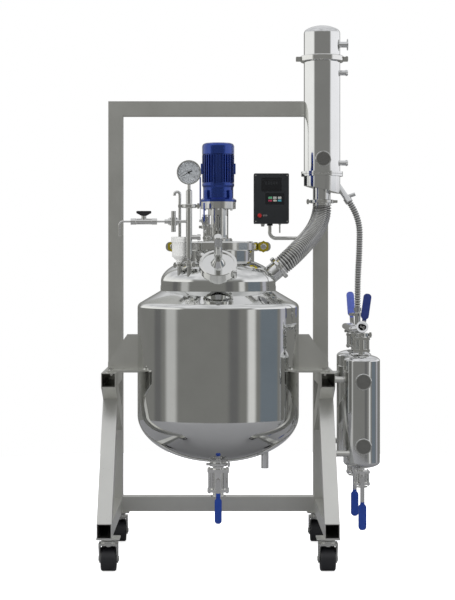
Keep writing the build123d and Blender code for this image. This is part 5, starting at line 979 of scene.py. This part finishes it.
class Nodes:
    """Dresses the pieces that come from the frame."""

    PLAIN = {
        "mirror_steel": ("jacket_cladding", "vessel_head", "lid_plate", "charging_cover", "inner_vessel"),
        "tank_steel": ("condenser_base", "condenser_shell", "condenser_cap", "condenser_bundle", "receivers",
                       "receiver_pipework", "jacket_wall", "agitator_shaft", "agitator_impeller"),
        "frame_steel": ("portal_frame", "side_rails", "side_struts", "vessel_lugs", "control_arm", "brackets",
                        "caster_plates"),
        "satin_steel": ("lid_clamp", "bolts", "charging_clamp", "tri_clamps", "lantern", "shaft_seal",
                        "ball_valve_bodies", "instrument_column", "sample_line", "gauge_case", "vapour_hose",
                        "drain_hose"),
        "motor_paint": ("motor_frame", "motor_bell", "motor_fan_cowl"),
        "box_black": ("control_box",),
        "panel_dark": ("control_panel",),
        "handle_black": ("needle_valve_handle",),
        "button_red": ("stop_button",),
        "cup_white": ("feed_cup",),
        "seal_white": ("gaskets",),
        "clear_glass": ("glasses",),
        "ink_black": ("gauge_needle",),
        "bright_brass": ("lid_clamp_nuts",),
        "wheel_black": ("front_left_wheel", "front_right_wheel", "rear_left_wheel", "rear_right_wheel"),
        "fork_steel": ("front_left_fork", "front_right_fork", "rear_left_fork", "rear_right_fork"),
    }
    LEVERS = {
        "outlet": (70.0, Library.SLEEVE),
        "lid_front": (42.0, Library.SLEEVE),
        "lid_rear": (62.0, Library.SLEEVE),
        # painted shade on the front top lever's vinyl and a painted reflection on the rear top lever's
        "receiver_front_top": (105.0, Library.SLEEVE_PAINTED_SHADE),
        "receiver_rear_top": (105.0, Library.SLEEVE_PAINTED_REFLECTION),
        "receiver_front_bottom": (105.0, Library.SLEEVE),
        "receiver_rear_bottom": (105.0, Library.SLEEVE),
    }

    def build(self, library: Library) -> None:
        """Gives each node its material.

        Args:
            library: The reactor's materials.
        """
        for name, nodes in self.PLAIN.items():
            for node in nodes:
                self.assign(node, library.made[name])
        joints = {joint["name"]: joint for joint in frame["joints"]}
        for lever, (start, sleeve) in self.LEVERS.items():
            pivot = Vector(joints[f"{lever}_turn"]["pos_m"])
            made = library.lever(f"{lever}_vinyl", pivot, start * MM, sleeve, Library.STEEL)
            self.assign(f"{lever}_lever", made)

    @staticmethod
    def assign(node: str, material: bpy.types.Material) -> None:
        """Puts a material on every slot of a node.

        Args:
            node: The node's name.
            material: Its material.
        """
        piece = frame["nodes"][node]
        if not piece.material_slots:
            piece.data.materials.append(material)
        for slot in piece.material_slots:
            slot.material = material
        LOG.info("%s is %s", node, material.name)


@dataclass(frozen=True)
class Dial:
    """The gauge's printed dial: face, ticks, plain numbers and the needle's hub, in millimetres.

    Attributes:
        middle: The middle of the gauge's case.
        front: How far the face lies in front of it.
        face: Radius and height of the face's corners.
        ink: How far the ink lies in front of the face's back.
        hub_front: How far the hub lies in front of the case's middle.
        hub: Radius and height of the hub's corners.
        first: The angle of the scale's start in degrees, from the right upwards.
        sweep: The scale's full turn in degrees.
        ticks: How many steps the scale has.
        each: How many steps there are from one long tick to the next.
        tick: A short tick's length, thickness and width.
        long_tick: The same of a long tick.
        tick_end: The radius where the ticks end.
        numbers: How many steps the numbers make.
        number_radius: The radius where the numbers lie.
        number_size: Their height.
    """

    middle: Point = (-120.0, -195.0, 1615.0)
    front: float = 9.55
    face: Outline = ((0.0, 0.0), (45.5, 0.0), (45.5, 0.3), (0.0, 0.3))
    ink: float = 0.45
    hub_front: float = 11.0
    hub: Outline = ((0.0, 0.0), (5.2, 0.0), (5.2, 1.0), (4.4, 1.6), (0.0, 1.6))
    first: float = 225.0
    sweep: float = 270.0
    ticks: int = 50
    each: int = 5
    tick: Point = (3.5, 0.2, 0.4)
    long_tick: Point = (6.5, 0.2, 0.9)
    tick_end: float = 42.0
    numbers: int = 5
    number_radius: float = 29.5
    number_size: float = 8.5

    def spot(self, share: float, radius: float) -> tuple[Vector, float]:
        """Finds a place on the scale.

        Args:
            share: How far along the scale it is.
            radius: Its radius in millimetres.

        Returns:
            The place in metres and its angle in radians.
        """
        angle = math.radians(self.first - self.sweep * share)
        plane = place(*self.middle) + FRONT * (self.front + self.ink) * MM
        return plane + Vector((math.cos(angle), 0.0, math.sin(angle))) * radius * MM, angle

    def build(self, library: Library) -> None:
        """Makes the dial's pieces.

        Args:
            library: The reactor's materials.
        """
        centre, ink = place(*self.middle), library.made["ink_black"]
        face = Shapes.lathe(metres(self.face), centre + FRONT * self.front * MM, FRONT, 64)
        Shapes.finish("gauge_dial", face, library.made["dial_white"], "stand", Slot.WHITE, False)
        marks = bmesh.new()
        for n in range(self.ticks + 1):
            size = Vector(self.tick if n % self.each else self.long_tick)
            middle, angle = self.spot(n / self.ticks, self.tick_end - size.x / 2)
            Shapes.block(marks, middle, size * MM, 0.0, -angle)
        Shapes.finish("gauge_ticks", marks, ink, "stand", Slot.POINTER, False)
        hub = Shapes.lathe(metres(self.hub), centre + FRONT * self.hub_front * MM, FRONT, 32)
        Shapes.finish("gauge_hub", hub, ink, "gauge_pointer", Slot.POINTER)
        for n in range(self.numbers + 1):
            spot, _ = self.spot(n / self.numbers, self.number_radius)
            Shapes.letter(f"gauge_number_{n}", str(2 * n), spot, self.number_size * MM, ink, Slot.POINTER)


@dataclass(frozen=True)
class Panel:
    """The control box's display, keys, plain marks, button ring and screws, in millimetres.

    Attributes:
        middle: The display's middle, to the right.
        front: Where the box's front lies.
        columns: The places of the keys, to the right.
        rows: Height above the floor and size upwards of the upper and the lower keys.
        keys: The keys' materials by column, the upper one first.
        digits: How many digits the display has.
        digit_step: The distance between digits.
        digit: A digit's width and height.
        button: Place to the right and height of the stop button.
        ring: Radius and height of the corners of the button's ring.
        screw: Radius and height of a screw's corners.
    """

    middle: float = 235.5
    front: float = 279.0
    columns: Point = (229.8, 250.2, 271.4)
    rows: Outline = ((1530.6, 10.0), (1518.4, 8.0))
    keys: tuple[tuple[str, str], ...] = (("key_green", "key_pink"), ("key_grey", "key_beige"),
                                         ("key_grey", "key_teal"))
    digits: int = 5
    digit_step: float = 12.0
    digit: tuple[float, float] = (5.0, 11.0)
    button: tuple[float, float] = (183.0, 1452.0)
    ring: Outline = ((10.0, 0.0), (13.5, 0.0), (13.5, 1.0), (12.5, 1.6), (10.0, 1.6))
    screw: Outline = ((0.0, 0.0), (3.2, 0.0), (3.0, 0.9), (0.0, 1.1))

    def plate(self, name: str, spot: Point, size: Point, soft: float, material: bpy.types.Material) -> None:
        """Makes one flat piece on the box's front.

        Args:
            name: The piece's name.
            spot: Its middle in millimetres.
            size: Its size in millimetres.
            soft: Its bevel in millimetres.
            material: Its material.
        """
        mesh = bmesh.new()
        Shapes.block(mesh, place(*spot), Vector(size) * MM, soft * MM)
        Shapes.finish(name, mesh, material, "stand", Slot.PANEL, False)

    def eight(self, mesh: bmesh.types.BMesh, x: float, y: float, z: float) -> None:
        """Adds the seven bars of a digit.

        Args:
            mesh: The bmesh that takes the bars.
            x: Millimetres to the right.
            y: Millimetres behind the vessel's axis.
            z: Millimetres above the floor.
        """
        wide, tall = self.digit
        flat, upright = Vector((4.0, 0.2, 1.1)), Vector((1.1, 0.2, 4.4))
        bars = ((0.0, tall / 2, flat), (wide / 2, tall / 4, upright), (wide / 2, -tall / 4, upright),
                (0.0, -tall / 2, flat), (-wide / 2, -tall / 4, upright), (-wide / 2, tall / 4, upright),
                (0.0, 0.0, flat))
        for across, up, size in bars:
            Shapes.block(mesh, place(x + across, y, z + up), size * MM)

    def build(self, library: Library) -> None:
        """Makes the panel's pieces.

        Args:
            library: The reactor's materials.
        """
        made, front = library.made, self.front
        window = (self.middle, front - 1.5, 1590.0)
        self.plate("display_window", window, (83.0, 1.6, 44.0), 0.6, made["panel_dark"])
        digits = bmesh.new()
        for n in range(self.digits):
            across = (n - (self.digits - 1) / 2) * self.digit_step
            self.eight(digits, self.middle + across, front - 2.35, 1596.0)
        Shapes.finish("display_digits", digits, made["dim_digits"], "stand", Slot.PANEL, False)
        self.plate("key_pad", (250.5, front - 0.3, 1527.0), (84.0, 1.2, 50.0), 0.5, made["panel_dark"])
        keys = [(name, x, z, tall) for x, names in zip(self.columns, self.keys)
                for name, (z, tall) in zip(names, self.rows)]
        for n, (name, x, z, tall) in enumerate(keys):
            self.plate(f"panel_key_{n}", (x, front - 1.3, z), (16.0, 1.8, tall), 0.7, made[name])
        for n, (words, (z, _)) in enumerate(zip(("RUN", "STOP"), self.rows)):
            spot = place(self.columns[0], front - 2.25, z)
            Shapes.letter(f"key_word_{n}", words, spot, 5.2 * MM, made["ink_black"], Slot.BLACK)
        x, z = self.button
        spot = place(x + 24.0, front - 0.1, z)
        Shapes.letter("button_word", "STOP", spot, 8.5 * MM, made["key_grey"], Slot.PANEL)
        ring = Shapes.lathe(metres(self.ring), place(x, front, z), FRONT, 40)
        Shapes.finish("button_ring", ring, made["handle_black"], "stand", Slot.BLACK)
        screws = bmesh.new()
        for z in (1630.0, 1426.0):
            for x in (166.0, 305.0):
                Shapes.lathe(metres(self.screw), place(x, front + 0.2, z), FRONT, 20, screws)
        Shapes.finish("box_screws", screws, made["satin_steel"], "stand", Slot.SATIN)


@dataclass(frozen=True)
class BoxFoot:
    """The cable gland and the hanging stud under the control box, in millimetres.

    Attributes:
        deep: How far behind the vessel's axis they are.
        high: The height of the box's underside.
        gland_x: The gland's place to the right.
        gland: Radius and height of the gland's corners.
        stud_x: The stud's place to the right.
        stud: Radius and height of the stud's corners.
    """

    deep: float = 318.0
    high: float = 1417.0
    gland_x: float = 198.0
    gland: Outline = ((0.0, 0.0), (9.5, 0.0), (9.5, 4.5), (7.8, 5.0), (7.8, 11.0), (6.0, 12.5), (0.0, 12.5))
    stud_x: float = 273.5
    stud: Outline = ((0.0, 0.0), (6.0, 0.0), (6.0, 4.0), (3.4, 4.2), (3.4, 40.0), (2.6, 41.0), (0.0, 41.0))

    def build(self, library: Library) -> None:
        """Makes both.

        Args:
            library: The reactor's materials.
        """
        for name, outline, x, sides in (("box_gland", self.gland, self.gland_x, 6),
                                        ("box_stud", self.stud, self.stud_x, 20)):
            mesh = Shapes.lathe(metres(outline), place(x, self.deep, self.high), -UP, sides)
            Shapes.finish(name, mesh, library.made["satin_steel"], "stand", Slot.SATIN)


@dataclass(frozen=True)
class Strip:
    """One light or dark upright strip of the room that mirrors see.

    Attributes:
        middle: Its direction in degrees from the camera's side, left below zero.
        half: Half its width in degrees.
        soft: How many degrees its edge takes to fade.
        colour: How bright it is.
    """

    middle: float
    half: float
    soft: float
    colour: Colour


class Studio:
    """Floor, light and camera."""

    # Place in metres, size across and up, power in watts, turns about x, y and z in degrees
    SOFTBOXES = (
        ((-3.4, -3.6, 2.2), (1.6, 2.6), 55.0, (78.0, 0.0, -42.0)),
        ((3.4, -3.4, 2.2), (1.6, 2.6), 45.0, (78.0, 0.0, 44.0)),
        ((0.0, -0.8, 5.2), (4.0, 3.0), 60.0, (0.0, 0.0, 0.0)),
    )
    FLOOR_RADIUS = 3.6
    FLOOR_GLOW = 0.72
    FLOOR_MIRRORED: Colour = (0.30, 0.30, 0.31)
    EYE_LEVEL = 0.015  # how steeply upwards a direction has to point to see the upper room
    EYE_BLEND = 22.0
    CEILING_LEVEL = 0.16
    CEILING_BLEND = 3.0
    CEILING_DARK: Colour = (0.35, 0.36, 0.37)
    CEILING_PALE: Colour = (1.15, 1.15, 1.18)

    # The room at eye height and below: a grey wall, bluer at the right, two strip lights with a dark flag each,
    # and a third light far round at the right
    WALL: Colour = (0.22, 0.22, 0.21)
    STRIPS = (
        Strip(-95.0, 3.0, 8.0, (0.15, 0.15, 0.15)),
        Strip(-70.0, 5.0, 8.0, (0.55, 0.55, 0.54)),
        Strip(22.0, 3.0, 8.0, (0.15, 0.15, 0.15)),
        Strip(48.0, 3.0, 6.0, (0.75, 0.75, 0.74)),
        Strip(77.0, 13.0, 5.0, (0.17, 0.20, 0.23)),
        Strip(105.0, 3.0, 6.0, (0.50, 0.50, 0.55)),
    )
    # The room above eye height: two pale side walls
    WALL_HIGH: Colour = (0.24, 0.24, 0.23)
    STRIPS_HIGH = (
        Strip(-100.0, 40.0, 12.0, (1.05, 1.05, 1.03)),
        Strip(100.0, 42.0, 12.0, (1.05, 1.05, 1.08)),
    )

    def build(self) -> None:
        """Makes the whole studio."""
        self.floor()
        self.world()
        for n, (spot, size, power, turn) in enumerate(self.SOFTBOXES):
            self.softbox(f"softbox_{n}", spot, size, power, turn)
        self.camera()
        bpy.context.scene.view_settings.view_transform = "Standard"

    @staticmethod
    def floor() -> None:
        """Lays a wide pale floor that mirrors see as grey."""
        mesh = bmesh.new()
        bmesh.ops.create_circle(mesh, cap_ends=True, segments=96, radius=Studio.FLOOR_RADIUS)
        data = bpy.data.meshes.new("floor")
        mesh.to_mesh(data)
        mesh.free()
        floor = bpy.data.objects.new("floor", data)
        bpy.context.scene.collection.objects.link(floor)
        floor.location.z = -0.0005
        material = bpy.data.materials.new("floor_pale")
        material.use_nodes = True
        graph = Graph(material.node_tree)
        shader = material.node_tree.nodes[SHADER]
        rays = graph.add("ShaderNodeLightPath")
        coords = graph.add("ShaderNodeTexCoord").outputs["Object"]
        cloud = graph.add("ShaderNodeTexNoise", None, Vector=coords, Scale=0.8, Detail=2.0)
        seen = graph.mix(cloud.outputs[0], (0.93, 0.93, 0.93), (0.95, 0.95, 0.95))
        tone = graph.mix(rays.outputs["Is Glossy Ray"], seen, Studio.FLOOR_MIRRORED)
        graph.feed(shader, "Base Color", tone)
        graph.feed(shader, "Emission Color", four((1.0, 1.0, 1.0)))
        glow = graph.math("MULTIPLY", rays.outputs["Is Camera Ray"], Studio.FLOOR_GLOW)
        graph.feed(shader, "Emission Strength", glow)
        shader.inputs["Roughness"].default_value = 0.9
        data.materials.append(material)

    @staticmethod
    def world() -> None:
        """Makes the surround: white to the camera, a grey room with soft bands to mirrors."""
        world = bpy.data.worlds.new("studio")
        bpy.context.scene.world = world
        world.use_nodes = True
        graph = Graph(world.node_tree)
        back = world.node_tree.nodes["Background"]
        rays = graph.add("ShaderNodeLightPath")
        coords = graph.add("ShaderNodeTexCoord").outputs["Generated"]
        split = graph.add("ShaderNodeSeparateXYZ", None, Vector=coords)
        around = graph.math("ARCTAN2", split.outputs[0], graph.math("MULTIPLY", split.outputs[1], -1.0))
        share = graph.math("ADD", graph.math("MULTIPLY", around, 0.5 / math.pi), 0.5)
        low = Studio.ramp(graph, share, Studio.WALL, Studio.STRIPS)
        high = Studio.ramp(graph, share, Studio.WALL_HIGH, Studio.STRIPS_HIGH)
        above_eye = graph.math("SUBTRACT", split.outputs[2], Studio.EYE_LEVEL)
        level = graph.math("MULTIPLY", above_eye, Studio.EYE_BLEND, clamp=True)
        bands = graph.mix(level, low, high)
        higher = graph.math("SUBTRACT", split.outputs[2], Studio.CEILING_LEVEL)
        lift = graph.math("MULTIPLY", higher, Studio.CEILING_BLEND, clamp=True)
        ceiling = graph.add("ShaderNodeTexNoise", None, Vector=coords, Scale=3.2, Detail=1.0)
        above = graph.mix(ceiling.outputs[0], Studio.CEILING_DARK, Studio.CEILING_PALE)
        room = graph.mix(lift, bands, above)
        tone = graph.mix(rays.outputs["Is Camera Ray"], room, (1.0, 1.0, 1.0))
        graph.feed(back, "Color", tone)
        back.inputs["Strength"].default_value = 1.0

    @staticmethod
    def ramp(graph: Graph, share: bpy.types.NodeSocket, wall: Colour,
             strips: Sequence[Strip]) -> bpy.types.NodeSocket:
        """Turns a direction into the colour of the room's wall and its strips.

        Args:
            graph: The world's graph.
            share: The direction as a share of the full turn.
            wall: The wall's colour.
            strips: The strips from left to right, apart from each other.

        Returns:
            The colour's socket.
        """
        node = graph.add("ShaderNodeValToRGB")
        graph.feed(node, "Fac", share)
        elements = node.color_ramp.elements
        node.color_ramp.interpolation = "EASE"
        elements[0].color = elements[1].color = four(wall)
        for strip in strips:
            outer = strip.half + strip.soft
            edges = ((-outer, wall), (-strip.half, strip.colour), (strip.half, strip.colour),
                     (outer, wall))
            for offset, colour in edges:
                elements.new(0.5 + (strip.middle + offset) / 360.0).color = four(colour)
        return node.outputs["Color"]

    @staticmethod
    def softbox(name: str, spot: Sequence[float], size: Sequence[float], power: float,
                turn: Sequence[float]) -> None:
        """Adds one soft rectangular light.

        Args:
            name: The light's name.
            spot: Its place in metres.
            size: Its width and height.
            power: Its power in watts.
            turn: Its turns about x, y and z in degrees.
        """
        light = bpy.data.lights.new(name, "AREA")
        light.shape = "RECTANGLE"
        light.size, light.size_y = size
        light.energy = power
        holder = bpy.data.objects.new(name, light)
        holder.location = spot
        holder.rotation_euler = [math.radians(t) for t in turn]
        holder.visible_glossy = False
        bpy.context.scene.collection.objects.link(holder)

    @staticmethod
    def camera() -> None:
        """Puts the camera where the photograph was taken from."""
        data = bpy.data.cameras.new("camera")
        data.sensor_width = SENSOR
        data.lens = FOCAL_PIXELS * SENSOR / IMAGE_SIZE[1]
        data.shift_x = (IMAGE_SIZE[0] / 2 - PRINCIPAL_POINT[0]) / IMAGE_SIZE[1]
        data.shift_y = (PRINCIPAL_POINT[1] - IMAGE_SIZE[1] / 2) / IMAGE_SIZE[1]
        data.clip_end = 100.0
        holder = bpy.data.objects.new("camera", data)
        holder.location = place(*CAMERA_PLACE)
        holder.rotation_euler = (math.pi / 2, 0.0, 0.0)
        bpy.context.scene.collection.objects.link(holder)
        bpy.context.scene.camera = holder


def main() -> None:
    """Dresses the reactor piece by piece and sets the studio."""
    logging.basicConfig(level=logging.INFO)
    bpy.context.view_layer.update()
    library = Library()
    for part in (Nodes(), Cladding(), VapourHose(), DrainHose(), Dial(), Panel(), BoxFoot()):
        part.build(library)
    Studio().build()
    LOG.info("dressed %d nodes from the frame", len(frame["nodes"]))


if __name__ == "__main__":
    main()
